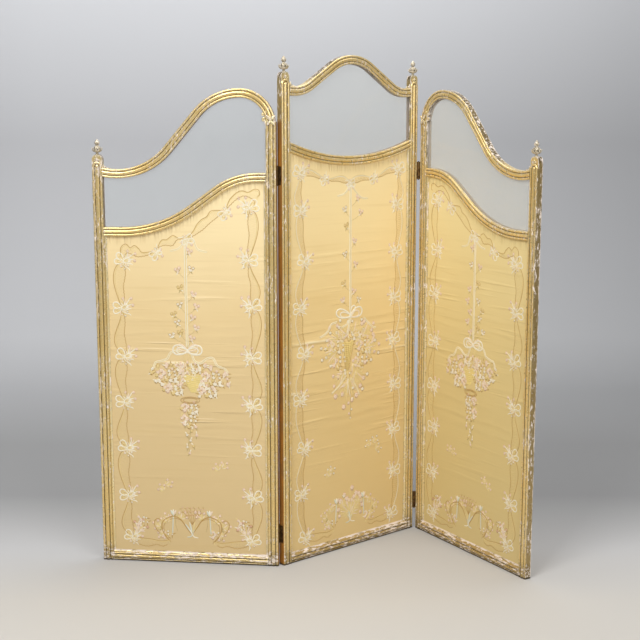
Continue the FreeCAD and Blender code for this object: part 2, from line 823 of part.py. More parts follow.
def screen():
    """All nodes of the screen at its standing angles."""
    joint_x = panel_width / 2 + hinge_gap / 2
    centre = {name: moved(shape, panel_left) for name, shape in centre_panel().items()}
    wing_shift = panel_left - hinge_gap - panel_width
    left = {name: moved(shape, wing_shift) for name, shape in wing_panel("left_wing").items()}
    right = {}
    for name, shape in wing_panel("right_wing").items():
        right[name] = moved(shape, wing_shift).mirror(Vector(0, 0, 0), Vector(1, 0, 0))

    # The left joint has its pins behind, the right joint in front
    left_joint = {}
    joint_hardware(left_joint, "left_joint", left_pin_offset)
    right_joint = {}
    joint_hardware(right_joint, "right_joint", right_pin_offset)
    left_shift = -joint_x
    for name, shape in left_joint.items():
        target = left if name.endswith("wing_leaf") else centre
        target[name] = moved(shape, left_shift)
    for name, shape in right_joint.items():
        target = right if name.endswith("wing_leaf") else centre
        target[name] = moved(half_turn(shape), joint_x)
    left_screws = [moved(shape, left_shift) for shape in joint_screws(-1)]
    right_screws = [moved(half_turn(shape), joint_x) for shape in joint_screws(-1)]
    inner_screws = [moved(shape, left_shift) for shape in joint_screws(1)]
    inner_screws += [moved(half_turn(shape), joint_x) for shape in joint_screws(1)]
    left["left_wing_screws"] = Part.makeCompound(left_screws)
    right["right_wing_screws"] = Part.makeCompound(right_screws)
    centre["centre_screws"] = Part.makeCompound(inner_screws)

    # Each stile at a joint is housed for its leaves
    stile = moved(left["left_wing_hinge_stile"], -left_shift)
    left["left_wing_hinge_stile"] = moved(fitted_hinges(stile, left_pin_offset, -1), left_shift)
    stile = moved(centre["centre_left_post"], -left_shift)
    centre["centre_left_post"] = moved(fitted_hinges(stile, left_pin_offset, 1), left_shift)
    stile = half_turn(moved(right["right_wing_hinge_stile"], -joint_x))
    right["right_wing_hinge_stile"] = moved(half_turn(fitted_hinges(stile, right_pin_offset, -1)), joint_x)
    stile = half_turn(moved(centre["centre_right_post"], -joint_x))
    centre["centre_right_post"] = moved(half_turn(fitted_hinges(stile, right_pin_offset, 1)), joint_x)

    nodes = dict(centre)
    for name, shape in left.items():
        nodes[name] = folded(shape, -joint_x, back + left_pin_offset, left_fold_degrees)
    for name, shape in right.items():
        nodes[name] = folded(shape, joint_x, -back - right_pin_offset, right_fold_degrees)
    return nodes


os.makedirs("parts", exist_ok=True)
for node, shape in screen().items():
    shape.exportStep("parts/" + node + ".step")
    print(node, shape.isValid(), len(shape.Solids), round(shape.Volume))
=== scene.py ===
"""Looks of the three-panel folding screen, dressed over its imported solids."""
import json
import math
import bpy
import numpy as np
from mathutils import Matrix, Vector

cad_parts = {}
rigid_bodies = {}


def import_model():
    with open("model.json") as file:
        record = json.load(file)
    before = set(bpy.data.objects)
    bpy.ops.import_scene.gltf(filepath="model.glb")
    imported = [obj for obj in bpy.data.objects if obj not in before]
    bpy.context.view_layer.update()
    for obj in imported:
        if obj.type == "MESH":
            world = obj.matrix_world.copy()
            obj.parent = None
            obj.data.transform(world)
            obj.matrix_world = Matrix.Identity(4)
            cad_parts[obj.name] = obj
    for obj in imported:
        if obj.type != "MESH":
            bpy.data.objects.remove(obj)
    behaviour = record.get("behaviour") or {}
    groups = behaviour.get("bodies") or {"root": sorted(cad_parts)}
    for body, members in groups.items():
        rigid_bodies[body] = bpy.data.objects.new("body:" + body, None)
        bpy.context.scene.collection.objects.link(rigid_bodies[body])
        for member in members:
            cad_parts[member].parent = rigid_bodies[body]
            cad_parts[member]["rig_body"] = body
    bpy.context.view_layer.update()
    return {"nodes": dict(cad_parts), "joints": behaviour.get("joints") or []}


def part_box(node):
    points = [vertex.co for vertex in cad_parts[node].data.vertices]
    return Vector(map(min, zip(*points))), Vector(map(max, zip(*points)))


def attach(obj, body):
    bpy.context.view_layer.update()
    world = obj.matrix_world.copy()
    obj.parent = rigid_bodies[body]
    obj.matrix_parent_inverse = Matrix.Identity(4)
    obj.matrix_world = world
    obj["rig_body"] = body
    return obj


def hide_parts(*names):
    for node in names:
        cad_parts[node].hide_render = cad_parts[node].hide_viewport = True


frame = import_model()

# The three panels: a centre with a wing hinged to either side, all laid out flat on the bench and then
# turned about their hinge pins. Places on a panel are in millimetres: across from its outer edge, back
# from its middle plane (the front is negative) and up from the floor.
panel_width = 1000 * (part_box("centre_right_post")[1].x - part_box("centre_left_post")[0].x)
frame_front = 1000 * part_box("centre_left_post")[0].y
joints = {joint["child"]: joint for joint in frame["joints"]}


class Panel:
    """One panel, which knows where its flat layout stands in the room."""

    def __init__(self, body, hand):
        self.body = body
        self.hand = hand
        self.pin = (0.0, 0.0, 0.0)
        self.fold = 0.0
        self.shift = -panel_width / 2
        if body in joints:
            self.pin = tuple(joints[body]["pos_m"])
            self.fold = -math.radians(joints[body]["range_deg"][0])
            gap = 2 * abs(1000 * self.pin[0]) - panel_width
            self.shift -= gap + panel_width

    def place(self, across, back, up):
        """Places in the room, in metres."""
        across, back, up = np.broadcast_arrays(*(np.asarray(n, float) for n in (across, back, up)))
        x = self.hand * (across + self.shift) / 1000 - self.pin[0]
        y = back / 1000 - self.pin[1]
        turned_x = math.cos(self.fold) * x + math.sin(self.fold) * y + self.pin[0]
        turned_y = math.cos(self.fold) * y - math.sin(self.fold) * x + self.pin[1]
        return np.stack([turned_x, turned_y, up / 1000], -1)

    def flat(self, places):
        """The same, the other way: across, back and up of places in the room."""
        x, y = places[:, 0] - self.pin[0], places[:, 1] - self.pin[1]
        flat_x = math.cos(self.fold) * x - math.sin(self.fold) * y + self.pin[0]
        flat_y = math.sin(self.fold) * x + math.cos(self.fold) * y + self.pin[1]
        return np.stack([self.hand * 1000 * flat_x - self.shift, 1000 * flat_y, 1000 * places[:, 2]], -1)


centre = Panel("centre", 1)
left_wing = Panel("left_wing", 1)
right_wing = Panel("right_wing", -1)
panels = (centre, left_wing, right_wing)


# Gilt frames: stiles, posts and shaped rails of softwood, coated with gesso, coloured with red-brown
# bole and covered with gold leaf. The leaf is rubbed and the gesso has broken away white along the
# arrises, the feet and the outer edges. Shade is painted into the hollows, onto the side faces, onto the
# edges of the post heads and along the floor, and highlight is painted pale on the crowns of the reeds.
def paint(red, green, blue):
    """A colour as it looks on paper, from 0 to 255, as a linear colour."""
    shares = np.array([red, green, blue]) / 255
    linear = np.where(shares <= 0.04045, shares / 12.92, ((shares + 0.055) / 1.055) ** 2.4)
    return (*linear.tolist(), 1.0)


class Tone:
    """A value that varies over a surface: it wraps a socket, and sums on it add Math nodes."""

    def __init__(self, socket):
        self.socket = socket

    def node(self, kind, settings, sockets, output=0):
        """A node of any kind, with its settings made first and then its sockets filled."""
        tree = self.socket.id_data
        made = tree.nodes.new(kind)
        for name, value in settings.items():
            if name == "stops":
                for number, (spot, colour) in enumerate(value):
                    stops = made.color_ramp.elements
                    stop = stops[number] if number < len(stops) else stops.new(spot)
                    stop.position, stop.color = spot, colour
            else:
                setattr(made, name, value)
        for name, value in sockets.items():
            if isinstance(value, Tone):
                tree.links.new(value.socket, made.inputs[name])
            else:
                made.inputs[name].default_value = value
        return Tone(made.outputs[output])

    def other(self, output):
        """Another output of the same node."""
        return Tone(self.socket.node.outputs[output])

    def maths(self, operation, first, second):
        return self.node("ShaderNodeMath", {"operation": operation}, {0: first, 1: second})

    def __add__(self, other):
        return self.maths("ADD", self, other)

    def __mul__(self, other):
        return self.maths("MULTIPLY", self, other)

    def __sub__(self, other):
        return self.maths("SUBTRACT", self, other)

    def __rsub__(self, other):
        return self.maths("SUBTRACT", other, self)

    def __truediv__(self, other):
        return self.maths("DIVIDE", self, other)

    def __abs__(self):
        return self.maths("ABSOLUTE", self, 0.0)

    def __or__(self, other):
        return self.maths("MAXIMUM", self, other)

    __radd__ = __add__
    __rmul__ = __mul__
    __ror__ = __or__

    def step(self, low, high):
        """0 below the low value, 1 above the high one and smooth between."""
        settings = {"interpolation_type": "SMOOTHSTEP"}
        return self.node("ShaderNodeMapRange", settings, {0: self, 1: low, 2: high, 3: 0.0, 4: 1.0})

    def step_flat(self, low, high):
        """The same, with a straight rise between."""
        return self.node("ShaderNodeMapRange", {}, {0: self, 1: low, 2: high, 3: 0.0, 4: 1.0})

    def noise(self, scale, detail=3.0, rough=0.5, output=0):
        """Cloudy noise at this place."""
        sockets = {"Vector": self, "Scale": scale, "Detail": detail, "Roughness": rough}
        return self.node("ShaderNodeTexNoise", {}, sockets, output)

    def stretched(self, x, y, z):
        """This place with its axes scaled, so that what is drawn there runs along one of them."""
        return self.node("ShaderNodeVectorMath", {"operation": "MULTIPLY"}, {0: self, 1: (x, y, z)})

    def blend(self, first, second):
        """The first colour where this is 0, the second where it is 1."""
        return self.node("ShaderNodeMix", {"data_type": "RGBA"}, {0: self, 6: first, 7: second}, 2)

    def relief(self, distance, normal=None):
        """A bumped normal from this height."""
        sockets = {"Height": self, "Distance": distance, "Strength": 1.0}
        if normal is not None:
            sockets["Normal"] = normal
        return self.node("ShaderNodeBump", {}, sockets)


def begin(name):
    """A new material, as the place on its object, in metres."""
    material = bpy.data.materials.new(name)
    material.use_nodes = True
    material.node_tree.nodes.clear()
    start = material.node_tree.nodes.new("ShaderNodeTexCoord")
    return material, Tone(start.outputs["Object"])


def surface(place, **sockets):
    """Closes a material with one surface shader, its sockets named with _ for a space."""
    tree = place.socket.id_data
    named = {name.replace("_", " "): value for name, value in sockets.items()}
    shader = place.node("ShaderNodeBsdfPrincipled", {}, named)
    output = tree.nodes.new("ShaderNodeOutputMaterial")
    tree.links.new(shader.socket, output.inputs["Surface"])


def on_flat(place, panel):
    """The place on the flat panel, before it was turned about its pin."""
    sockets = {"Vector": place, "Center": panel.pin, "Angle": panel.fold}
    return place.node("ShaderNodeVectorRotate", {"rotation_type": "Z_AXIS"}, sockets)


gold = paint(230, 197, 124)
pale_gold = paint(250, 236, 188)
olive = paint(104, 82, 40)
dark_olive = paint(74, 60, 34)
brown = paint(118, 90, 56)
bole = paint(136, 90, 36)
gesso = paint(234, 220, 206)
bare_edge = paint(178, 122, 48)


def gilt(panel):
    """Worn gilding for one panel, with painted shade and painted highlight."""
    material, place = begin("gilt_" + panel.body)
    spot = on_flat(place, panel)
    parts = spot.node("ShaderNodeSeparateXYZ", {}, {0: spot})
    height = parts.other(2)
    across = abs(parts) * 1000.0
    facing = place.node("ShaderNodeTexCoord", {}, {}, "Normal")
    facing = facing.node("ShaderNodeVectorRotate", {"rotation_type": "Z_AXIS"}, {"Vector": facing, "Angle": panel.fold})
    faces = facing.node("ShaderNodeSeparateXYZ", {}, {0: facing})
    sideways, rearward = abs(faces).step(0.7, 0.9), faces.other(1)
    edgewise = 1.0 - abs(rearward).step(0.25, 0.6)
    rounded = place.node("ShaderNodeBevel", {"samples": 6}, {"Radius": 0.007})
    true = place.node("ShaderNodeNewGeometry", {}, {}, "Normal")
    dot = place.node("ShaderNodeVectorMath", {"operation": "DOT_PRODUCT"}, {0: rounded, 1: true}, "Value")
    arris = (1.0 - dot).step(0.006, 0.09)
    open_air = place.node("ShaderNodeAmbientOcclusion", {"samples": 8, "only_local": True}, {"Distance": 0.012}, "AO")
    shaded_hollow = (1.0 - open_air).step(0.14, 0.46)
    inward = place.node("ShaderNodeAmbientOcclusion", {"samples": 8, "inside": True, "only_local": True}, {"Distance": 0.006}, "AO")
    crown = (1.0 - inward).step(0.12, 0.5)
    cloud = spot.noise(7.0, 4.0, 0.6)
    flake = spot.noise(70.0, 5.0, 0.7)
    fleck = spot.noise(330.0, 3.0, 0.6)
    streak = spot.stretched(1.0, 1.0, 0.12).noise(140.0, 4.0, 0.6)
    foot = 1.0 - height.step(0.035, 0.065)
    upright = spot.stretched(150.0, 150.0, 45.0).noise(1.0, 4.0, 0.65)
    level = spot.stretched(45.0, 150.0, 150.0).noise(1.0, 4.0, 0.65)
    chip = upright + (level - upright) * foot
    # Painted highlight: the crowns of the reeds, found by inside occlusion, are lightened toward pale gold; the cloud
    # and fleck share is the leaf's own patchiness.
    leaf = (cloud.step(0.3, 0.7) * 0.3 + fleck.step(0.4, 0.6) * 0.2 + crown * 0.5).blend(gold, pale_gold)
    rubbed = (flake * 0.55 + cloud * 0.45).step(0.50, 0.66)
    leaf = (rubbed * 0.45).blend(leaf, olive)
    # Painted shade: the hollows between the reeds are darkened toward olive, and further toward dark olive in the
    # lowest band; the lowest 35 to 65 mm are also darkened toward olive.
    leaf = (shaded_hollow * 0.86 | foot * 0.42).blend(leaf, olive)
    leaf = (shaded_hollow * foot * 0.8).blend(leaf, dark_olive)
    inner_edge = (across - panel_width / 2 + 2.0).step(0.0, 1.0) * (1.0 - (across - panel_width / 2 - 3.0).step(0.0, 1.0))
    joint_edge = inner_edge * sideways * (1.0 - height.step(1.555, 1.575))
    outer_edge = (across - 1.45 * panel_width).step(0.0, 1.0) * sideways
    rim = (across - 1.5 * panel_width + 12.0).step(0.0, 4.0) | height.step(head_springing[panel.body] / 1000 - 0.3, head_springing[panel.body] / 1000 - 0.1) * 0.6
    head = height.step(head_springing[panel.body] / 1000, head_springing[panel.body] / 1000 + 0.034) * edgewise
    # Painted shade: the side faces of the members and the edge faces of the post heads above their springing are
    # darkened toward dark olive.
    leaf = ((head | (sideways * 0.5)) * (0.7 + 0.3 * streak)).blend(leaf, dark_olive)
    leaf = (outer_edge * 0.3).blend(leaf, brown)
    rear = rearward.step(0.7, 0.95)
    plain = (joint_edge | rear) * (0.8 + 0.2 * streak.step(0.35, 0.6))
    leaf = plain.blend(leaf, streak.step(0.3, 0.7).blend(bole, bare_edge))
    broken = chip * 0.65 + fleck * 0.15 + cloud * 0.2 + arris * (0.032 + 0.063 * rim) + foot * (0.05 + crown * 0.04) + outer_edge * 0.02
    lost = (broken - shaded_hollow * 0.06 - plain * 0.2 + head * 0.05).step(0.568, 0.59)
    colour = lost.blend(leaf, gesso)
    # Painted shadow: the lowest few millimetres go dark olive, standing in for the contact shadow on the floor.
    colour = (1.0 - height.step(0.003, 0.008)).blend(colour, dark_olive)
    metal = (1.0 - lost) * (1.0 - plain * 0.85) * (1.0 - rubbed * 0.5) * (1.0 - shaded_hollow * 0.6) * 0.68
    dull = 0.20 + 0.18 * flake + 0.35 * lost + 0.12 * shaded_hollow + 0.1 * plain
    relief = (streak * 0.2 + fleck * 0.15 - lost * 0.8).relief(0.0006)
    surface(place, Base_Color=colour, Metallic=metal, Roughness=dull, Normal=relief)
    return material


head_springing = {"centre": 1687.0, "left_wing": 1411.0, "right_wing": 1411.0}
frame_members = ("post", "stile", "rail")
for panel in panels:
    finish = gilt(panel)
    for name, node in frame["nodes"].items():
        if node["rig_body"] == panel.body and name.endswith(frame_members):
            node.data.materials.clear()
            node.data.materials.append(finish)
    panel.gilding = finish


# Carved ornament: curled leaves, rosettes and buds cut in lime wood or cast in composition, gilt with
# the frames and glued on. All are built from tapering lobes that are thick down the middle.
def lobe(spine, sides, widths, thick):
    """Closed shell round a spine: at each point it is as wide as told along its side and as thick as told."""
    spine, sides = np.asarray(spine, float), np.asarray(sides, float)
    along = np.gradient(spine, axis=0)
    along /= np.linalg.norm(along, axis=1)[:, None] + 1e-12
    sides = sides - along * np.sum(sides * along, axis=1)[:, None]
    sides /= np.linalg.norm(sides, axis=1)[:, None] + 1e-12
    ups = np.cross(sides, along)
    ring = np.linspace(0, 2 * np.pi, 9)[:-1]
    rows = []
    for angle in ring:
        across = np.cos(angle) * np.asarray(widths)[:, None] * sides
        rows.append(spine + across + np.sin(angle) * np.asarray(thick)[:, None] * ups)
    points = np.stack(rows, 1).reshape(-1, 3)
    count, sectors = len(spine), len(ring)
    faces = []
    for row in range(count - 1):
        for sector in range(sectors):
            following = (sector + 1) % sectors
            first, second = row * sectors, (row + 1) * sectors
            faces.append((first + sector, first + following, second + following, second + sector))
    faces.append(tuple(range(sectors))[::-1])
    faces.append(tuple(range((count - 1) * sectors, count * sectors)))
    return points, faces


def lathed(profile, sectors, lobes=0, depth=0.0):
    """Turned shape from radii and heights, with soft lobes round it as told."""
    profile = np.asarray(profile, float)
    angles = np.linspace(0, 2 * np.pi, sectors, endpoint=False)
    swell = 1 + depth * np.cos(lobes * angles)
    points = [np.stack([r * swell * np.cos(angles), r * swell * np.sin(angles), np.full(sectors, z)], -1) for r, z in profile]
    faces = []
    for row in range(len(profile) - 1):
        for sector in range(sectors):
            following = (sector + 1) % sectors
            first, second = row * sectors, (row + 1) * sectors
            faces.append((first + sector, first + following, second + following, second + sector))
    faces.append(tuple(range(sectors))[::-1])
    faces.append(tuple(range((len(profile) - 1) * sectors, len(profile) * sectors)))
    return np.concatenate(points), faces


def gathered(shells):
    """Several shells as one list of points and faces."""
    points, faces, start = [], [], 0
    for shell_points, shell_faces in shells:
        points.append(shell_points)
        faces += [tuple(start + corner for corner in face) for face in shell_faces]
        start += len(shell_points)
    return np.concatenate(points), faces


def piece(name, points, faces, panel, slot, *materials):
    """A new piece from points in the room, smooth, that moves with its panel."""
    mesh = bpy.data.meshes.new(name)
    mesh.from_pydata(np.asarray(points).tolist(), [], faces)
    mesh.polygons.foreach_set("use_smooth", [True] * len(mesh.polygons))
    for material in materials:
        mesh.materials.append(material)
    mesh.update()
    made = bpy.data.objects.new(name, mesh)
    bpy.context.scene.collection.objects.link(made)
    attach(made, panel.body)
    return made


def standing(panel, shells, across, back, up):
    """Shells in millimetres about their own foot, set on a panel; their front looks along -Y."""
    points, faces = gathered(shells)
    return panel.place(points[:, 0] + across, points[:, 1] + back, points[:, 2] + up), faces


# Finials: turned and carved buds, a pointed bud over a cup of eight curled leaves on a waisted foot,
# gilt and more burnished than the frames, each on a spigot in the flat of its post.
finial_height = 53.5
leaf_count = 8


def burnished():
    """Rubbed gilding gone grey, with painted shade in the hollows and pale points that are part rubbed gilding and part
    painted highlight.
    """
    material, place = begin("burnished_gilt")
    flake = place.noise(160.0, 4.0, 0.6)
    cloud = place.noise(45.0, 3.0, 0.6)
    open_air = place.node("ShaderNodeAmbientOcclusion", {"samples": 8, "only_local": True}, {"Distance": 0.009}, "AO")
    shaded_hollow = (1.0 - open_air).step(0.12, 0.7)
    rounded = place.node("ShaderNodeBevel", {"samples": 6}, {"Radius": 0.0015})
    true = place.node("ShaderNodeNewGeometry", {}, {}, "Normal")
    dot = place.node("ShaderNodeVectorMath", {"operation": "DOT_PRODUCT"}, {0: rounded, 1: true}, "Value")
    rub_and_glint = (flake * 0.5 + cloud * 0.4 + (1.0 - dot).step(0.02, 0.2) * 0.4).step(0.46, 0.58)
    colour = flake.step(0.4, 0.65).blend(paint(184, 170, 140), paint(230, 220, 198))
    # Painted shade in the hollows, then pale points on the edges and in patches, part rubbed gilding and part painted
    # highlight.
    colour = (shaded_hollow * 0.9).blend(colour, paint(62, 48, 30))
    colour = (rub_and_glint * 0.8).blend(colour, paint(244, 232, 216))
    surface(place, Base_Color=colour, Metallic=0.55 - 0.3 * shaded_hollow - 0.25 * rub_and_glint, Roughness=0.3 + 0.2 * flake, Normal=flake.relief(0.0004))
    return material


def finial_shells():
    """Foot, leaf cup, ball and bud about the foot of a finial."""
    shells = [lathed([(8.0, 0), (8.2, 0.8), (6.4, 2.2), (4.6, 4.2), (4.0, 6.4), (4.8, 8.0), (6.6, 9.2), (6.8, 10.0), (4.6, 11.0)], 32)]
    run = np.linspace(0, 1, 11)
    for number in range(leaf_count):
        angle = 2 * math.pi * number / leaf_count
        out, side = np.array([math.cos(angle), math.sin(angle), 0]), np.array([-math.sin(angle), math.cos(angle), 0])
        reach = 4.0 + 14.2 * np.sin(run * 1.35) / math.sin(1.35)
        rise = 9.6 + 15.4 * run ** 2.1
        spine = reach[:, None] * out + rise[:, None] * np.array([0, 0, 1])
        widths = 6.4 * np.sin(np.pi * (0.18 + 0.79 * run)) ** 0.85
        shells.append(lobe(spine, np.tile(side, (11, 1)), widths, 0.5 + 0.9 * np.sin(np.pi * (0.1 + 0.85 * run))))
    shells.append(lathed([(4.6, 9.6), (8.2, 12.4), (10.0, 16.6), (10.2, 20.4), (9.2, 24.8), (7.0, 28.6), (4.8, 31.2), (4.0, 33.4)], 48, 6, 0.08))
    shells.append(lathed([(4.0, 32.4), (5.6, 34.6), (7.0, 38.0), (7.2, 41.4), (6.0, 45.4), (3.8, 49.4), (1.6, 52.4), (0.4, 53.4)], 48, 6, 0.1))
    for number in range(6):
        angle = 2 * math.pi * (number + 0.5) / 6
        out, side = np.array([math.cos(angle), math.sin(angle), 0]), np.array([-math.sin(angle), math.cos(angle), 0])
        reach = 5.4 + 5.4 * np.sin(np.pi * (0.12 + 0.62 * run))
        spine = reach[:, None] * out + (11 + 20.5 * run)[:, None] * np.array([0, 0, 1])
        shells.append(lobe(spine, np.tile(side, (11, 1)), 3.6 * np.sin(np.pi * (0.2 + 0.78 * run)), 0.3 + 0.8 * np.sin(np.pi * run)))
        reach = 3.6 + 4.4 * np.sin(np.pi * (0.1 + 0.55 * run))
        spine = reach[:, None] * out + (33 + 12.5 * run)[:, None] * np.array([0, 0, 1])
        shells.append(lobe(spine, np.tile(side, (11, 1)), 2.6 * np.sin(np.pi * (0.2 + 0.78 * run)), 0.2 + 0.7 * np.sin(np.pi * run)))
    return shells


bright_gilt = burnished()
reeded_width = 36.0
post_places = (
    (centre, "centre_left_finial", reeded_width / 2),
    (centre, "centre_right_finial", panel_width - reeded_width / 2),
    (left_wing, "left_wing_finial", reeded_width / 2),
    (right_wing, "right_wing_finial", reeded_width / 2),
)
for panel, name, across in post_places:
    foot = 1000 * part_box(name)[1].z - finial_height
    made = piece(name + "_carved", *standing(panel, finial_shells(), across, 0, foot), panel, "gilt_wood", bright_gilt)
    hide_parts(name)


# Post heads: each round head has a small carved flower of two lobes and a bud over the arch of the reeds.
head_face = frame_front + 5.8


def curl(middle, radius, turns, start, thickness, hand=1):
    """A carved volute that winds in to its eye, facing forward."""
    angles = np.linspace(0, 2 * np.pi * turns, 14 + int(16 * turns))
    share = angles / angles[-1]
    reach = radius * (1 - 0.80 * share)
    turn = math.radians(start) + hand * angles
    spine = np.stack([middle[0] + reach * np.cos(turn), np.full(len(angles), middle[1]) - 1.2 * share, middle[2] + reach * np.sin(turn)], -1)
    sides = np.stack([np.cos(turn), np.zeros(len(angles)), np.sin(turn)], -1)
    body = thickness * (1 - 0.55 * share)
    return [lobe(spine, sides, body, body * 0.9)]


def blade(foot, turn, length, width, arch, thick=1.4):
    """A carved leaf that springs forward from its foot; a turn of 0 points up."""
    run = np.linspace(0, 1, 9)
    heading = np.array([math.sin(math.radians(turn)), 0, math.cos(math.radians(turn))])
    side = np.array([math.cos(math.radians(turn)), 0, -math.sin(math.radians(turn))])
    spine = np.asarray(foot, float) + (length * run)[:, None] * heading
    spine[:, 1] -= arch * np.sin(np.pi * run * 0.85)
    return lobe(spine, np.tile(side, (9, 1)), width * np.sin(np.pi * (0.14 + 0.80 * run)), thick * np.sin(np.pi * (0.12 + 0.8 * run)))


def knob(middle, radius):
    """A round bead, facing forward."""
    points, faces = lathed([(0.2 * radius, -0.98 * radius), (0.7 * radius, -0.72 * radius), (0.98 * radius, -0.2 * radius), (radius, 0)], 16)
    return np.stack([points[:, 0], points[:, 2], points[:, 1]], -1) + np.asarray(middle, float), faces


def flower_shells():
    """Two curled lobes either side of a bud, over a pair of drooping leaves."""
    shells = curl((-5.2, -0.9, 0), 5.0, 1.1, 0, 1.9) + curl((5.2, -0.9, 0), 5.0, 1.1, 180, 1.9, -1)
    shells += [blade((0, 0, -1), 0, 11, 3.0, 2.0), blade((0, 0, -2), -128, 12, 2.2, 1.6), blade((0, 0, -2), 128, 12, 2.2, 1.6)]
    return shells + [knob((0, -0.8, 0), 2.6)]


for panel, name, across in post_places:
    head = 1000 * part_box(name)[1].z - finial_height + 2.5
    piece(name.replace("finial", "flower"), *standing(panel, flower_shells(), across, head_face, head - 21), panel, "gilt_wood", panel.gilding)


# Corner carving: a curled leaf lies on each top rail where it meets a post, and the foot of each arched
# rail carries a crossed leaf rosette with volutes that hook into the light.
corner_places = (
    (centre, reeded_width, "centre_left_corner", 1), (centre, panel_width - reeded_width, "centre_right_corner", -1),
    (left_wing, reeded_width, "left_wing_corner", 1), (right_wing, reeded_width, "right_wing_corner", 1),
)


def rail_top(panel, across):
    """Height of the upper edge of a top rail."""
    mesh = frame["nodes"][panel.body + "_top_rail"].data
    flat = panel.flat(np.array([corner.co for corner in mesh.vertices]))
    near = flat[np.abs(flat[:, 0] - across) < 14]
    return near[:, 2].max()


for panel, across, name, hand in corner_places:
    top = rail_top(panel, across + hand * 30)
    shells = curl((hand * 5.5, -7.0, 3.2), 4.6, 1.3, 90, 1.8, -hand) + curl((hand * 15.5, -7.2, 0.6), 3.2, 1.2, 90, 1.4, -hand)
    shells += [blade((hand * 1.5, -6.4, 1.0), hand * 18, 15, 2.6, 1.2), blade((hand * 8.0, -6.4, -1.5), hand * 78, 16, 2.4, 1.4)]
    piece(name, *standing(panel, shells, across, 0, top), panel, "gilt_wood", panel.gilding)

shoulder = 1000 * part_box("left_wing_hinge_stile")[1].z - 12.0
for panel in (left_wing, right_wing):
    middle = panel_width - reeded_width / 2
    shells = []
    for turn, length in ((-40, 24), (40, 22), (-142, 22), (142, 22)):
        shells.append(blade((1, frame_front + 0.6, 4), turn, length, 4.6, 2.0, 2.0))
        shells.append(blade((1, frame_front + 0.2, 4), turn + 16, length * 0.7, 2.4, 2.0, 1.4))
        shells.append(blade((1, frame_front + 0.2, 4), turn - 16, length * 0.7, 2.4, 2.0, 1.4))
    shells.append(knob((1, frame_front - 0.6, 4), 3.4))
    shells += curl((-22.5, frame_front + 6.0, 6.0), 8.0, 1.4, 20, 2.7) + curl((-25.0, frame_front + 6.0, 22.0), 5.6, 1.3, -20, 2.1)
    shells += [blade((-17, frame_front + 5.0, -12), -6, 20, 3.4, 1.4, 2.0), blade((-20, frame_front + 5.0, 24), 24, 18, 3.0, 1.4, 2.0)]
    piece(panel.body + "_shoulder_leaves", *standing(panel, shells, middle, 0, shoulder), panel, "gilt_wood", panel.gilding)


# Silk panels: ivory to gold satin stretched over a strainer and tacked behind, with slack pulled into
# long level folds over the years. The satin is painted lighter at the top and darker towards the foot, as
# the light from above falls on it, with painted glints along the creases and painted shade in the
# puckers under the rails.
silk_front = 1000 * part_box("centre_silk")[0].y
fold_lines = (
    (130, 742, 150, 7, 0.7), (210, 735, 120, 6, 0.5), (470, 727, 120, 7, 0.9), (430, 560, 190, 10, 0.6),
    (400, 610, 160, 8, 0.5), (250, 505, 170, 9, 0.6), (450, 505, 150, 8, 0.7), (390, 1070, 120, 9, 0.5),
    (420, 1035, 150, 10, 0.5), (450, 985, 140, 9, 0.5), (170, 880, 150, 9, 0.4), (420, 860, 150, 8, 0.5),
    (430, 815, 120, 7, 0.6), (160, 640, 120, 9, 0.5), (150, 832, 90, 6, 0.8), (470, 828, 90, 6, 0.8),
    (480, 778, 90, 7, 0.6), (330, 470, 230, 12, 0.4), (300, 320, 220, 16, 0.3), (300, 950, 200, 14, 0.35),
)


def slack(across, up):
    """How far the satin stands forward of its flat, in millimetres."""
    forward = np.zeros(np.broadcast(across, up).shape)
    for middle, level, length, width, lift in fold_lines:
        line = level + 0.02 * (across - middle) + 3 * np.sin(across / 37.0 + level)
        share = np.exp(-((across - middle) / length) ** 2) * np.exp(-((up - line) / width) ** 2)
        trough = np.exp(-((across - middle) / length) ** 2) * np.exp(-((up - line + 1.7 * width) / width) ** 2)
        forward += lift * share - 0.6 * lift * trough
    return forward


def silk_outline(panel):
    """Left edge, right edge, foot and the height of the top edge across the silk's solid."""
    mesh = frame["nodes"][panel.body + "_silk"].data
    flat = panel.flat(np.array([corner.co for corner in mesh.vertices]))
    left, right, foot = flat[:, 0].min(), flat[:, 0].max(), flat[:, 2].min()
    rim = flat[flat[:, 2] > foot + 200]
    order = np.argsort(rim[:, 0])
    return left, right, foot, rim[order, 0], rim[order, 2]


def cloth(panel, columns, rows, back, slack_share):
    """Points and faces of a cloth that fills the lower opening of a panel."""
    left, right, foot, rim_across, rim_up = silk_outline(panel)
    across = np.linspace(left, right, columns)[None, :]
    top = np.interp(across, rim_across, rim_up)
    share = np.linspace(0, 1, rows)[:, None]
    up = foot + (top - foot) * share
    margin = np.clip(np.minimum(np.minimum(across - left, right - across), np.minimum(up - foot, top - up)) / 25, 0, 1)
    forward = slack(across, up) * margin * slack_share
    points = panel.place(np.broadcast_to(across, up.shape), back - forward, up).reshape(-1, 3)
    faces = []
    for row in range(rows - 1):
        for column in range(columns - 1):
            corner = row * columns + column
            faces.append((corner, corner + 1, corner + columns + 1, corner + columns))
    area = (right - left) * (np.interp(np.linspace(left, right, 400), rim_across, rim_up) - foot).mean()
    hem = np.stack([np.broadcast_to(across, up.shape), top - up], -1).reshape(-1, 2) / 1000
    return points, faces, hem, (right - left) / 1000, (rim_up.max() - foot) / 1000, area / 1e6


# Each panel's satin is pulled by its share toward its tint; the shares partly stand in for how differently the panels
# take the light.
panel_tint = {"centre": (0.22, (244, 208, 118)), "left_wing": (0.02, (244, 208, 118)), "right_wing": (0.3, (220, 204, 120))}


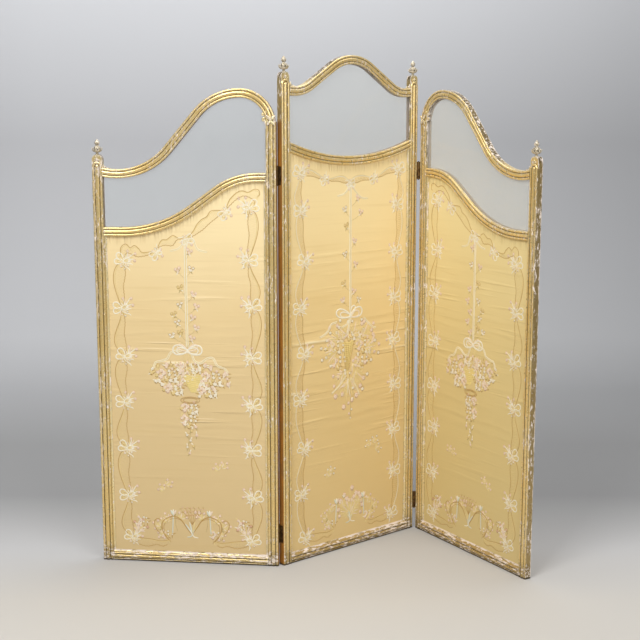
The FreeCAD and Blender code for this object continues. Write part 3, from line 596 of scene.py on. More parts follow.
def satin(panel):
    """Satin weave with its long floats across, painted lighter at the top and darker towards the foot as light from
    above falls on it.
    """
    material, place = begin("satin_" + panel.body)
    spot = on_flat(place, panel)
    parts = spot.node("ShaderNodeSeparateXYZ", {}, {0: spot})
    height = parts.other(2)
    cloud = spot.noise(3.0, 3.0, 0.5)
    floats = spot.stretched(60.0, 60.0, 1400.0).noise(1.0, 2.0, 0.5)
    slub = spot.stretched(2.2, 2.2, 70.0).noise(1.0, 3.0, 0.55)
    creased = (1.0 - abs(height - 0.72).step(0.12, 0.55)) * cloud.step(0.35, 0.6)
    crease = spot.stretched(2.6, 2.6, 46.0).noise(1.0, 2.0, 0.4).step(0.52, 0.78) * creased
    hem = place.node("ShaderNodeUVMap", {}, {})
    drawn = hem.node("ShaderNodeSeparateXYZ", {}, {0: hem}).other(1)
    tight = (1.0 - drawn.step(0.012, 0.045))
    pucker = hem.stretched(105.0, 7.0, 1.0).noise(1.0, 2.0, 0.5).step(0.35, 0.75) * tight
    # Painted light: lighter at the top and darker towards the foot, with random mottling from the cloud.
    painted_top_light = (height + (cloud - 0.5) * 0.35)
    tone = painted_top_light.node("ShaderNodeValToRGB", {"stops": (
        (0.0, paint(214, 188, 138)), (0.35, paint(220, 194, 144)), (0.65, paint(230, 204, 152)), (1.0, paint(246, 226, 178)),
    )}, {0: painted_top_light.step(0.0, 1.5)})
    tone = ((slub - 0.5).step(0.0, 0.3) * 0.22).blend(tone, paint(204, 174, 116))
    # Painted shade: the puckers along the hem under the rail are darkened in colour as the shade of the gathers; their
    # bumps come from the relief below.
    tone = (pucker * 0.35).blend(tone, paint(190, 158, 104))
    # Per-panel tint, partly painted light: it evens out how the three panels take the light.
    share, shade = panel_tint[panel.body]
    tone = tone.node("ShaderNodeMix", {"data_type": "RGBA"}, {0: share, 6: tone, 7: paint(*shade)}, 2)
    # Painted highlight: the crests of the creases are lightened toward near-white as glints.
    tone = (crease.step(0.45, 0.95) * 0.55).blend(tone, paint(255, 246, 214))
    surface(
        place, Base_Color=tone, Roughness=0.36 + 0.12 * cloud, Normal=(crease + pucker * 0.8).relief(0.0036, (floats + slub * 0.5).relief(0.0002)),
        Sheen_Weight=0.25, Sheen_Roughness=0.35, Sheen_Tint=paint(255, 240, 205), Specular_IOR_Level=0.5, Anisotropic=0.4,
    )
    return material


for panel in panels:
    points, faces, hem, width, length, area = cloth(panel, 64, 360, silk_front, 1.0)
    made = piece(panel.body + "_satin", points, faces, panel, "silk", satin(panel))
    corners = np.zeros(len(made.data.loops), int)
    made.data.loops.foreach_get("vertex_index", corners)
    made.data.uv_layers.new(name="hem").data.foreach_set("uv", hem[corners].astype(np.float32).ravel())
    thickness = made.modifiers.new("thickness", "SOLIDIFY")
    thickness.thickness, thickness.offset = 0.0005, 0.0
    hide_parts(panel.body + "_silk")
    panel.satin = made
    panel.cut = (width, length), area


# Embroidery: silk floss in satin and stem stitch, worked on the satin before it was stretched. A border
# of ochre vines and trellis is tied with white bows, and a flower basket hangs from a ribbon.
threads = ("ochre", "straw", "white", "blue", "pink", "rose", "green", "yellow")
thread_colours = {
    "ochre": paint(194, 154, 84), "straw": paint(234, 210, 146), "white": paint(247, 239, 216), "blue": paint(222, 224, 206),
    "pink": paint(244, 222, 196), "rose": paint(222, 180, 150), "green": paint(190, 168, 108), "yellow": paint(238, 214, 138),
}


def floss(thread):
    """Lustrous floss, with stitches that lie across the band."""
    material, place = begin("floss_" + thread)
    seam = place.node("ShaderNodeUVMap", {}, {})
    stitches = seam.stretched(1.0, 0.08, 1.0).noise(900.0, 2.0, 0.5)
    cloud = place.noise(28.0, 3.0, 0.5)
    colour = thread_colours[thread]
    deep = tuple(0.86 * part for part in colour[:3]) + (1.0,)
    tone = (stitches.step(0.3, 0.7) * 0.5 + cloud.step(0.3, 0.7) * 0.4).blend(deep, colour)
    surface(
        place, Base_Color=tone, Roughness=0.34 + 0.2 * stitches, Normal=stitches.relief(0.00012),
        Sheen_Weight=0.3, Sheen_Roughness=0.3,
    )
    return material


floss_finishes = [floss(thread) for thread in threads]


def smooth(line, spacing):
    """A smooth line through points, with points at even spacing."""
    line = np.asarray(line, float)
    if len(line) > 2:
        padded = np.vstack([2 * line[0] - line[1], line, 2 * line[-1] - line[-2]])
        parts = []
        for before, start, end, after in zip(padded, padded[1:], padded[2:], padded[3:]):
            t = np.linspace(0, 1, 9)[:-1, None]
            parts.append(0.5 * (2 * start + (end - before) * t + (2 * before - 5 * start + 4 * end - after) * t ** 2 + (3 * start - before - 3 * end + after) * t ** 3))
        line = np.vstack(parts + [line[-1:]])
    far = np.concatenate([[0], np.cumsum(np.linalg.norm(np.diff(line, axis=0), axis=1))])
    even = np.linspace(0, far[-1], max(3, int(far[-1] / spacing) + 1))
    return np.stack([np.interp(even, far, line[:, 0]), np.interp(even, far, line[:, 1])], -1)


class Needlework:
    """The stitches of one panel, gathered band by band."""

    def __init__(self, panel):
        self.panel = panel
        self.places, self.faces, self.colours, self.seams, self.count = [], [], [], [], 0

    def band(self, line, width, thread, lift=0.7, ends=0.35, spacing=3.0, swell=None):
        """A raised band along a line, tapered at its ends, or with its own swelling."""
        line = smooth(line, spacing)
        along = np.gradient(line, axis=0)
        along /= np.linalg.norm(along, axis=1)[:, None] + 1e-9
        side = np.stack([-along[:, 1], along[:, 0]], -1)
        share = np.linspace(0, 1, len(line))
        form = np.clip(np.minimum(share, 1 - share) * len(line) / 2.5 + ends, 0, 1) if swell is None else swell(share)
        half = width / 2 * form
        ring = ((-1, -0.15), (-0.6, 0.75), (0, 1), (0.6, 0.75), (1, -0.15))
        across = np.stack([line + side * (half * offset)[:, None] for offset, _ in ring], 1)
        rise = np.stack([lift * height * np.sqrt(form) if height > 0 else lift * height * np.ones(len(line)) for _, height in ring], 1)
        back = silk_front - 0.25 - slack(across[..., 0], across[..., 1]) - rise
        self.places.append(self.panel.place(across[..., 0], back, across[..., 1]).reshape(-1, 3))
        sectors = len(ring)
        far = np.concatenate([[0], np.cumsum(np.linalg.norm(np.diff(line, axis=0), axis=1))]) / 1000
        sector, row = np.arange(sectors), self.count + sectors * np.arange(len(line) - 1)[:, None]
        turned = (sector + 1) % sectors
        quads = np.stack([row + sector, row + turned, row + sectors + turned, row + sectors + sector], -1).reshape(-1, 4)
        self.faces += quads.tolist()
        self.faces.append(list(range(self.count, self.count + sectors))[::-1])
        self.faces.append(list(range(self.count + (len(line) - 1) * sectors, self.count + len(line) * sectors)))
        self.colours += [threads.index(thread)] * (len(quads) + 2)
        self.seams.append(np.stack([np.repeat(far, sectors), np.tile(np.linspace(0, width / 1000, sectors), len(line))], -1))
        self.count += len(line) * sectors

    def leaf(self, foot, turn, length, width, thread, lift=0.9, bend=0.0):
        """One leaf or petal from its foot; a turn of 0 points up."""
        angle = math.radians(turn)
        heading, side = np.array([math.sin(angle), math.cos(angle)]), np.array([math.cos(angle), -math.sin(angle)])
        line = [np.asarray(foot) + heading * length * share + side * length * bend * share ** 2 for share in (0, 0.5, 1)]
        self.band(line, width, thread, lift, spacing=length / 4, swell=lambda share: np.sin(np.pi * (0.1 + 0.82 * share)))

    def blossom(self, middle, size, thread, heart="rose", petals=5, turn=0):
        """A round flower outlined in rose, with a knot in its middle."""
        self.leaf((middle[0], middle[1] - size * 0.62), 0, size * 1.24, size * 1.2, "rose" if thread == "pink" else "ochre", 0.15)
        for number in range(petals):
            self.leaf(middle, turn + 360 * number / petals, size * 0.5, size * 0.42, thread, 0.5)
        self.leaf((middle[0], middle[1] - size * 0.09), 0, size * 0.2, size * 0.18, heart, 0.8)

    def spray(self, foot, turn, size, thread="white", flower="pink"):
        """A fan of slender leaves from one foot, with small flowers at its edge."""
        foot = np.asarray(foot, float)
        for number in range(9):
            lean = -64 + 16 * number
            reach = size * (1.0 - 0.0075 * abs(lean)) * (0.86 if number % 2 else 1.0)
            self.leaf(foot, turn + lean, reach, 4.4, (thread, "straw", thread, "pink")[number % 4], 0.6, 0.002 * lean)
        for lean, share in ((-40, 0.78), (6, 1.02), (44, 0.8)):
            angle = math.radians(turn + lean)
            self.blossom(foot + size * share * np.array([math.sin(angle), math.cos(angle)]), size * 0.13 + 5, flower, turn=turn)

    def loop(self, knot, turn, length, width, ribbon, thread, filling=None):
        """One loop of a bow, out from its knot and back."""
        t = np.linspace(0, 2 * np.pi, 15)
        out = length * (1 - np.cos(t)) / 2
        off = width / 2 * np.sin(t) * (0.45 + 0.55 * (1 - np.cos(t)) / 2)
        angle = math.radians(turn)
        line = np.stack([knot[0] + out * math.sin(angle) + off * math.cos(angle), knot[1] + out * math.cos(angle) - off * math.sin(angle)], -1)
        if filling:
            self.leaf(knot, turn, length * 0.98, width * 0.9, filling, 0.35)
        self.band(line, ribbon, thread, 0.8)

    def tail(self, knot, turn, length, ribbon, thread, sway=0.12):
        """A loose end of ribbon that waves as it falls."""
        angle = math.radians(turn)
        heading, side = np.array([math.sin(angle), math.cos(angle)]), np.array([math.cos(angle), -math.sin(angle)])
        line = [np.asarray(knot) + heading * length * s + side * length * sway * math.sin(s * 5.2) for s in np.linspace(0, 1, 7)]
        self.band(line, ribbon, thread, 0.8)

    def ribbon(self, line, width, thread="white"):
        """A ribbon worked as two pale edges with a darker fold between."""
        line = smooth(line, 5.0)
        along = np.gradient(line, axis=0)
        side = np.stack([-along[:, 1], along[:, 0]], -1) / (np.linalg.norm(along, axis=1)[:, None] + 1e-9)
        self.band(line, width * 0.7, "straw", 0.4)
        for hand in (-1, 1):
            self.band(line + side * hand * width * 0.33, width * 0.36, thread, 0.8)

    def bow(self, knot, size, turn, hand):
        """A soft bow: double loops to one side, waving ends to the other and sprays of flowers."""
        for lean, length, width in ((-50, 0.95, 0.72), (-104, 0.88, 0.66), (64, 0.66, 0.54)):
            self.loop(knot, turn + hand * lean, size * length, size * width, size * 0.12, "white")
            self.loop(knot, turn + hand * lean, size * length * 0.66, size * width * 0.5, size * 0.12, "straw")
        for lean, length, thread in ((104, 0.95, "white"), (140, 1.1, "white"), (-156, 0.7, "pink")):
            self.tail(knot, turn + hand * lean, size * length, size * 0.10, thread)
        self.leaf((knot[0], knot[1] - size * 0.12), 0, size * 0.26, size * 0.2, "white", 1.2)
        self.spray((knot[0] + hand * size * 0.25, knot[1] + size * 0.15), turn + hand * 40, size * 1.05)
        self.spray((knot[0] + hand * size * 0.1, knot[1] - size * 0.1), turn + hand * 160, size * 0.6, "straw", "white")

    def ladder(self, outer, inner, lozenge=False):
        """Two ochre lines, the inner one scalloped, with rungs or crossed threads between."""
        outer, inner = smooth(outer, 2.5), smooth(inner, 2.5)
        along = np.gradient(inner, axis=0)
        side = np.stack([-along[:, 1], along[:, 0]], -1) / (np.linalg.norm(along, axis=1)[:, None] + 1e-9)
        scallop = 2.2 * np.abs(np.sin(np.arange(len(inner)) * 2.5 * np.pi / 11))
        inner = inner + side * scallop[:, None]
        vine = "straw" if lozenge else "ochre"
        self.band(outer, 2.4, vine, 0.7, spacing=3.0)
        self.band(outer + (inner[np.linspace(0, len(inner) - 1, len(outer)).astype(int)] - outer) * 0.14, 2.4, "white" if lozenge else "straw", 0.6, spacing=3.0)
        self.band(inner, 2.2, "ochre", 0.7, spacing=2.0)
        count = max(4, int(len(outer) * 2.5 / (7.5 if lozenge else 6)))
        outer = outer[np.linspace(0, len(outer) - 1, count).astype(int)]
        inner = inner[np.linspace(0, len(inner) - 1, count).astype(int)]
        lag = 2 if lozenge else 1
        for number in range(1, count - 1 - lag):
            self.band([outer[number], inner[number + lag]], 1.0, "straw", 0.5, spacing=12)
            if lozenge:
                self.band([inner[number], outer[number + lag]], 1.2, "ochre", 0.5, spacing=12)

    def garland(self, start, end, bulge, early, lozenge=False):
        """A length of border between two bows, that bulges outward near one of them."""
        start, end = np.asarray(start, float), np.asarray(end, float)
        run = end - start
        side = np.array([-run[1], run[0]]) / np.linalg.norm(run)
        lean = 0.64 if early else 1.67
        shares = np.linspace(0, 1, 13)
        outer = [start + run * s + side * bulge * math.sin(math.pi * s ** lean) for s in shares]
        inner = [start + run * s - side * 0.28 * bulge * math.sin(math.pi * s) * (0.7 + 0.5 * math.sin(9 * s)) for s in shares]
        self.ladder(outer, inner, lozenge)

    def finish(self):
        """The stitches as one piece on the panel."""
        made = piece(self.panel.body + "_embroidery", np.concatenate(self.places), self.faces, self.panel, "silk", *floss_finishes)
        made.data.polygons.foreach_set("material_index", self.colours)
        corners = np.zeros(len(made.data.loops), int)
        made.data.loops.foreach_get("vertex_index", corners)
        seam = made.data.uv_layers.new(name="stitches")
        seam.data.foreach_set("uv", np.concatenate(self.seams)[corners].astype(np.float32).ravel())
        return made


def twined(work, ribbon, flowers, low, high):
    """A hanging ribbon with sprigs of flowers twined about it."""
    work.ribbon([(ribbon, high), (ribbon, (low + high) / 2), (ribbon + 1, low)], 9.0)
    for number, (across, up) in enumerate(flowers):
        hand = 1 if across > ribbon else -1
        work.band([(ribbon, up - 26), (ribbon + 0.6 * (across - ribbon), up - 14), (across, up)], 1.1, "green", 0.4)
        for lean, reach in ((0, 0), (hand * 9, 7), (-hand * 4, 11)):
            work.blossom((across + lean, up + reach), 12 - 0.25 * abs(lean), ("pink", "white", "pink", "straw")[number % 4], turn=number * 40 + lean)
        for lean in (-130, -60, 60, 130):
            work.leaf((across, up - 3), lean + 20 * hand, 12, 3.6, ("straw", "white", "green")[(number + lean) % 3], 0.5)


def heaped(work, middle, spread, height, count, size=13):
    """A loose heap of small flowers and leaves, wider than it is tall."""
    turn = 2.39996
    for number in range(count):
        share = math.sqrt((number + 0.5) / count)
        angle = number * turn + 0.5 * math.sin(number * 12.9)
        spot = (middle[0] + spread * share * math.cos(angle) + 3 * math.sin(number * 78.2), middle[1] + height * share * math.sin(angle) + 3 * math.cos(number * 37.7))
        for lean in (70, 190):
            work.leaf(spot, math.degrees(angle) + lean, 15, 3.6, ("ochre", "straw", "white")[(number + lean) % 3], 0.4)
        work.blossom(spot, size + 3 * math.sin(number * 2.1), ("white", "pink", "straw", "white", "pink")[number % 5], turn=number * 33)


def foot_motif(work, hand, middle, vine):
    """One half of the ornament at the foot: paired scrolls, a trumpet flower and a run of border."""
    x = lambda *offsets: [middle + hand * offset for offset in offsets]
    scroll = list(zip(x(2, 20, 40, 62, 84, 106, 108, 98, 82), (104, 130, 158, 168, 164, 146, 122, 96, 78)))
    work.band(scroll, 4.2, vine, 0.9)
    work.band([(across - hand * 7, up - 7) for across, up in scroll[2:]], 2.4, vine, 0.7)
    work.band(list(zip(x(106, 124, 136, 132, 118), (150, 158, 146, 124, 104))), 3.2, vine, 0.8)
    for foot, turn, size in ((88, 20, 34), (40, -30, 30), (112, 70, 30), (100, 140, 28)):
        work.spray((middle + hand * foot, 150 - 0.3 * turn), hand * turn, size, "straw", "pink")
    for number, (across, up) in enumerate(scroll[2:]):
        for lean in (-50, 30):
            work.leaf((across, up), hand * (lean + 25 * number), 12, 4.6, ("straw", "green", "pink")[number % 3], 0.7)
    for lean in (-26, 0, 26):
        work.leaf((middle + hand * 66, 172), lean, 22, 9, ("blue", "white", "pink")[(lean + 26) // 26])
    work.band(list(zip(x(66, 68, 70), (180, 142, 104))), 4.6, "blue", 0.7)
    work.band(list(zip(x(60, 58, 52), (170, 140, 112))), 1.4, "green", 0.6)
    heaped(work, (middle + hand * 92, 98), 20, 16, 7, 9)
    work.ladder(list(zip(x(78, 110, 150, 200, 226), (80, 74, 80, 84, 84))), list(zip(x(90, 108, 130, 160, 190, 210), (64, 56, 62, 54, 60, 70))))


def wing_needlework(panel):
    """The border, basket and foot ornament of a wing."""
    work = Needlework(panel)
    outer = [(100, 1085), (90, 918), (96, 748), (90, 583), (95, 415), (95, 240), (106, 86)]
    inner = [(545, 1272), (540, 1092), (552, 930), (550, 750), (552, 578), (547, 418), (552, 243), (545, 84)]
    for line, bulge in ((outer, -34), (inner, 31)):
        for number, (start, end) in enumerate(zip(line, line[1:])):
            work.garland(start, end, bulge, number % 2 == 0)
    work.ladder([(90, 1100), (92, 1132), (110, 1145), (125, 1132), (140, 1140), (155, 1130), (168, 1116), (205, 1120)], [(100, 1092), (115, 1112), (150, 1100), (185, 1105), (208, 1118)])
    work.ladder([(217, 1122), (235, 1158), (255, 1162), (276, 1176), (296, 1168), (318, 1172)], [(215, 1128), (245, 1140), (275, 1140), (292, 1160), (315, 1164)])
    work.ladder([(330, 1170), (348, 1192), (362, 1216), (378, 1232), (396, 1242), (412, 1262), (455, 1264)], [(335, 1165), (380, 1194), (402, 1214), (424, 1232), (455, 1256)])
    work.ladder([(462, 1266), (476, 1300), (500, 1324), (520, 1331), (540, 1326), (560, 1336), (576, 1334), (580, 1318), (570, 1312)], [(466, 1268), (500, 1300), (526, 1312), (550, 1304), (561, 1290), (556, 1275)])
    for number, knot in enumerate(outer[:-1]):
        work.bow(knot, 37, -8 if number % 2 else 12, 1)
    for number, knot in enumerate(inner[:-1]):
        work.bow(knot, 37, 8 if number % 2 else -12, -1)
    for number, knot in enumerate(((217, 1115), (322, 1162), (460, 1256))):
        work.bow(knot, 30, 150, (-1, 1, -1)[number])
    for knot, hand in ((outer[-1], 1), (inner[-1], -1)):
        work.bow(knot, 34, hand * 10, hand)
        work.spray((knot[0] + hand * 22, knot[1] + 22), hand * 20, 48, "pink", "rose")
        heaped(work, (knot[0] + hand * 38, knot[1] + 56), 20, 26, 9, 10)
    work.ribbon([(322, 1160), (296, 1132), (265, 1122)], 6)
    work.ribbon([(324, 1160), (346, 1164), (362, 1130), (396, 1120)], 6)
    sprigs = ((332, 1116), (337, 1056), (292, 1052), (300, 990), (344, 968), (298, 930), (354, 925), (276, 896), (340, 886), (288, 868), (352, 850), (298, 832), (336, 812), (268, 822))
    twined(work, 319, sprigs, 785, 1155)
    for hand in (-1, 1):
        work.loop((320, 772), hand * 84, 52, 44, 5.5, "white")
        work.loop((320, 772), hand * 88, 38, 28, 4.5, "white")
        work.loop((320, 772), hand * 60, 40, 24, 4, "pink")
    work.leaf((320, 764), 0, 15, 12, "white", 1.4)
    work.ribbon([(300, 774), (262, 766), (248, 744), (226, 735), (206, 729), (196, 706)], 7)
    work.ribbon([(334, 764), (346, 736), (366, 730), (388, 746), (410, 748), (426, 722), (450, 712), (463, 696)], 7)
    for stem in (308, 314, 324, 330):
        work.band([(stem, 762), (stem + 1, 730), (stem, 690)], 2.2, "straw", 0.7)
    for across, up, spread, height, count in (
        (246, 684, 64, 40, 32), (404, 676, 68, 46, 36), (322, 714, 64, 16, 18), (268, 632, 40, 20, 14), (388, 626, 44, 22, 16), (325, 566, 34, 24, 14), (322, 520, 28, 26, 10),
    ):
        heaped(work, (across, up), spread, height, count)
    for level, reach in ((683, 36), (676, 35), (669, 33), (662, 31), (655, 28), (648, 25), (641, 21), (634, 17), (628, 13)):
        work.band([(338 - reach, level + 4), (338, level - 3), (338 + reach, level + 4)], 8.0, "yellow", 0.5, spacing=8)
    heaped(work, (330, 692), 46, 14, 12, 11)
    heaped(work, (306, 662), 12, 22, 6, 10)
    heaped(work, (372, 656), 10, 20, 5, 10)
    ring = np.linspace(0, 2 * np.pi, 17)
    for wide, tall in ((34, 12), (26, 8)):
        work.band(np.stack([327 + wide * np.cos(ring), 596 + tall * np.sin(ring)], -1), 2.2, "ochre", 1.5)
    work.band([(322, 560), (318, 520), (326, 480), (318, 440), (322, 402)], 1.4, "green", 0.4)
    for number, (across, up) in enumerate(((345, 500), (308, 508), (330, 486), (314, 470), (348, 470), (326, 450), (336, 430), (314, 426), (322, 404))):
        work.blossom((across, up), 12 - 0.3 * number, ("pink", "white", "straw", "white")[number % 4], turn=25 * number)
        work.leaf((across, up - 4), 150 + 40 * (number % 3), 11, 4, "green")
        work.leaf((across, up + 4), -50 + 40 * (number % 3), 11, 4, "white")
    for foot, turn in (((225, 262), -38), ((232, 284), 60), ((425, 342), -28), ((436, 352), 40)):
        work.spray(foot, turn, 26, "straw", "pink")
    for hand in (-1, 1):
        foot_motif(work, hand, 324, "ochre")
    for turn in (-40, -22, -6, 12, 30, 46):
        work.band([(326, 138), (326 + 0.5 * turn, 172), (326 + 0.95 * turn, 206 - abs(turn) * 0.4)], 1.6, "ochre", 0.5)
        for share in (0.5, 0.7, 0.9):
            for lean in (-55, 55):
                work.leaf((326 + turn * share, 138 + 66 * share), turn + lean, 10, 2.8, ("ochre", "rose")[lean > 0], 0.6)
    for across, up in ((346, 170), (338, 186), (352, 184)):
        work.blossom((across, up), 12, "pink")
    for turn in (-34, -12, 12, 34):
        work.leaf((326, 104), turn, 46, 7, ("blue", "straw")[turn > 0], 0.6)
    work.band([(318, 120), (330, 96), (348, 90)], 4, "white", 0.9)
    work.band([(334, 120), (322, 96), (306, 92)], 4, "blue", 0.9)
    return work.finish()


def centre_needlework(panel):
    """The border, horn of flowers and foot ornament of the centre."""
    work = Needlework(panel)
    left = [(85, 1388), (88, 1258), (104, 1080), (84, 916), (102, 752), (84, 588), (101, 408), (88, 240), (106, 74)]
    right = [(556, 1386), (548, 1258), (546, 1082), (540, 914), (538, 754), (544, 582), (542, 408), (546, 244), (534, 76)]
    crest = [(85, 1388), (198, 1364), (316, 1346), (430, 1361), (556, 1386)]
    for line, bulge in ((left, -30), (right, 30)):
        for number, (start, end) in enumerate(zip(line, line[1:])):
            work.garland(start, end, bulge, number % 2 == 1, True)
    for number, (start, end) in enumerate(zip(crest, crest[1:])):
        work.garland(start, end, 22, number % 2 == 0, True)
    for number, knot in enumerate(left):
        work.bow(knot, 35, -8 if number % 2 else 12, 1)
    for number, knot in enumerate(right):
        work.bow(knot, 35, 8 if number % 2 else -12, -1)
    for number, knot in enumerate(crest[1:4]):
        work.bow(knot, 26, 160, (-1, 1, -1)[number])
    work.ribbon([(316, 1345), (292, 1312), (255, 1302)], 6)
    work.ribbon([(318, 1345), (346, 1312), (372, 1292), (402, 1288)], 6)
    sprigs = ((352, 1288), (292, 1250), (366, 1236), (300, 1190), (336, 1134), (294, 1090), (342, 1050), (288, 984), (334, 952), (358, 920), (284, 924))
    twined(work, 318, sprigs, 885, 1340)
    work.loop((320, 868), -74, 70, 40, 6, "white")
    work.loop((320, 868), -78, 50, 24, 5, "white")
    work.loop((320, 868), 72, 58, 44, 6, "white")
    work.loop((320, 868), 78, 42, 28, 5, "pink")
    work.loop((320, 868), 28, 40, 24, 5, "white")
    work.leaf((320, 860), 0, 15, 13, "white", 1.4)
    for line in (((318, 866), (304, 840), (274, 828)), ((322, 866), (312, 830), (306, 798)), ((256, 852), (228, 846), (216, 826), (196, 812), (174, 804)), ((384, 856), (404, 836), (430, 815), (446, 812))):
        work.ribbon(line, 7)
    for across, up, spread, height, count in (
        (252, 762, 52, 32, 16), (384, 750, 52, 42, 22), (318, 794, 70, 20, 16), (264, 702, 36, 26, 9), (370, 690, 40, 26, 10), (286, 655, 30, 16, 6),
    ):
        heaped(work, (across, up), spread, height, count)
    for level in np.linspace(772, 670, 15):
        reach = 30 * (level - 640) / 130
        drift = 306 + (level - 700) * 0.06
        work.band([(drift - reach, level + 3), (drift, level - 3), (drift + reach, level + 5)], 7.0, "yellow", 0.5, spacing=8)
    for lean in (-0.8, -0.4, 0, 0.4, 0.8):
        work.band([(311 + 30 * lean, 772), (304 + 8 * lean, 668)], 1.1, "ochre", 1.3, spacing=14)
    work.ribbon([(304, 668), (308, 648), (330, 626), (366, 620)], 6, "straw")
    for line in (((300, 650), (266, 616), (230, 592)), ((306, 640), (308, 610), (304, 584)), ((322, 640), (350, 600), (366, 566))):
        work.ribbon(line, 5)
    for foot, turn, length in (((300, 800), -34, 62), ((334, 800), 34, 62), ((262, 790), -50, 60), ((380, 790), 48, 64), ((286, 780), -66, 70), ((350, 780), 66, 76), ((240, 756), -88, 58), ((404, 750), 86, 56), ((250, 740), -112, 66), ((392, 740), 104, 70), ((330, 690), 132, 80), ((286, 660), -140, 60), ((316, 640), 166, 84), ((306, 630), 184, 96), ((345, 660), 148, 78)):
        work.spray(foot, turn, length, "straw", ("pink", "white")[length % 4 // 2])
    work.band([(316, 640), (322, 570), (320, 490)], 1.4, "green", 0.5)
    for number, (across, up) in enumerate(((330, 560), (312, 545), (326, 520), (314, 505), (321, 488))):
        work.blossom((across, up), 12 - number, ("white", "pink")[number % 2])
    for foot, turn in (((220, 282), -20), ((218, 298), 60), ((420, 362), -40), ((436, 372), 30), ((446, 350), 90)):
        work.spray(foot, turn, 30, "straw", "white")
    for hand in (-1, 1):
        foot_motif(work, hand, 321, "straw")
        work.blossom((321 + hand * 30, 196), 16, ("white", "pink")[hand > 0])
    for turn in (-50, -26, 0, 26, 50):
        work.spray((321, 122), turn, 96 - abs(turn) * 0.6, "straw", "pink")
    for turn in (-34, -12, 12, 34):
        work.leaf((322, 100), turn, 50, 8, ("blue", "straw")[turn > 0], 0.6)
    work.band([(314, 118), (326, 94), (346, 88)], 4, "white", 0.9)
    work.band([(330, 118), (318, 94), (300, 90)], 4, "blue", 0.9)
    return work.finish()


for panel in panels:
    stitched = centre_needlework(panel) if panel is centre else wing_needlework(panel)


# Glass: thin old panes in the shaped lights, faintly green and a little uneven, held by beads behind.
def old_glass(panel, tint, film):
    """Old glass with a pale film on it, part grime and part painted reflection."""
    material, place = begin("old_glass_" + panel.body)
    ripple = place.noise(5.0, 2.0, 0.4)
    haze = place.noise(2.2, 3.0, 0.6)
    surface(
        place, Base_Color=haze.blend(tint, paint(214, 222, 220)), Roughness=0.04, Alpha=film + 0.05 * haze,
        Normal=ripple.relief(0.0012), Specular_IOR_Level=0.9,
    )
    return material


# Each pane's film tint and strength are set pane by pane: partly grime, partly painted reflection and shade that even
# out how bright each light looks.
dust_and_reflection = ((centre, paint(230, 230, 224), 0.16), (left_wing, paint(176, 184, 186), 0.10), (right_wing, paint(238, 232, 218), 0.27))
for panel, tint, film in dust_and_reflection:
    pane = frame["nodes"][panel.body + "_glass"]
    pane.data.materials.clear()
    pane.data.materials.append(old_glass(panel, tint, film))


# Beads and strainers: plain softwood, the beads stained brown and pinned in behind the glass.
def stained_wood(name, light, dark, dullness):
    """Straight-grained wood with a worn stain."""
    material, place = begin(name)
    grain = place.stretched(60.0, 60.0, 5.0).noise(1.0, 4.0, 0.6)
    cloud = place.noise(9.0, 3.0, 0.5)
    tone = (grain * 0.7 + cloud * 0.3).step(0.3, 0.7).blend(light, dark)
    surface(place, Base_Color=tone, Roughness=dullness + 0.2 * grain, Normal=grain.relief(0.0004))
    return material


bead_finish = stained_wood("stained_bead", paint(150, 108, 58), paint(104, 68, 32), 0.45)
strainer_finish = stained_wood("bare_strainer", paint(206, 178, 132), paint(170, 136, 92), 0.6)
for name, node in frame["nodes"].items():
    if name.endswith(("bead", "strainer")):
        node.data.materials.clear()
        node.data.materials.append(bead_finish if name.endswith("bead") else strainer_finish)


# Back lining: a plain-woven cotton over the back of each strainer, faded to buff and held along its edge
# with small domed tacks.
lining_back = 1000 * (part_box("centre_lining")[0].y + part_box("centre_lining")[1].y) / 2


def cotton():
    material, place = begin("lining_cotton")
    warp = place.stretched(1.0, 1.0, 30.0).noise(40.0, 2.0, 0.5)
    weft = place.stretched(30.0, 30.0, 1.0).noise(40.0, 2.0, 0.5)
    cloud = place.noise(3.0, 4.0, 0.6)
    tone = cloud.step(0.3, 0.7).blend(paint(196, 172, 124), paint(176, 148, 100))
    tone = ((warp + weft) * 0.5).step(0.35, 0.65).blend(tone, paint(206, 186, 142))
    surface(place, Base_Color=tone, Roughness=0.8, Normal=(warp + weft).relief(0.0003), Sheen_Weight=0.15)
    return material


def tarnished():
    """Old brass, dark in patches."""
    material, place = begin("tarnished_brass")
    cloud = place.noise(60.0, 3.0, 0.6)
    tone = cloud.step(0.35, 0.65).blend(paint(196, 154, 78), paint(112, 82, 40))
    surface(place, Base_Color=tone, Metallic=0.7, Roughness=0.35 + 0.2 * cloud, Normal=cloud.relief(0.0003))
    return material


def tacks(panel, inset, gap):
    """Domed tacks along the edge of a lining, facing back."""
    left, right, foot, rim_across, rim_up = silk_outline(panel)
    levels = lambda across: np.arange(foot + gap, np.interp(across, rim_across, rim_up) - gap / 2, gap)
    spots = [(across, up) for across in (left + inset, right - inset) for up in levels(across)]
    for across in np.linspace(left + inset, right - inset, 14):
        spots += [(across, foot + inset), (across, np.interp(across, rim_across, rim_up) - inset)]
    points, faces = lathed([(3.2, 0), (3.0, 0.4), (2.0, 0.9), (0.3, 1.1)], 14)
    dome = np.stack([points[:, 0], points[:, 2], points[:, 1]], -1)
    shells = [(dome + (across, lining_back + 0.2, up), [face[::-1] for face in faces]) for across, up in spots]
    return standing(panel, shells, 0, 0, 0)


lining_finish, brass = cotton(), tarnished()
for panel in panels:
    points, faces, hem, width, length, area = cloth(panel, 48, 120, lining_back, -0.4)
    made = piece(panel.body + "_cotton", points, [face[::-1] for face in faces], panel, "lining_cloth", lining_finish)
    thickness = made.modifiers.new("thickness", "SOLIDIFY")
    thickness.thickness, thickness.offset = 0.0005, 0.0
    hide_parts(panel.body + "_lining")
    piece(panel.body + "_tacks", *tacks(panel, 7.0, 45.0), panel, "hinge_metal", brass)


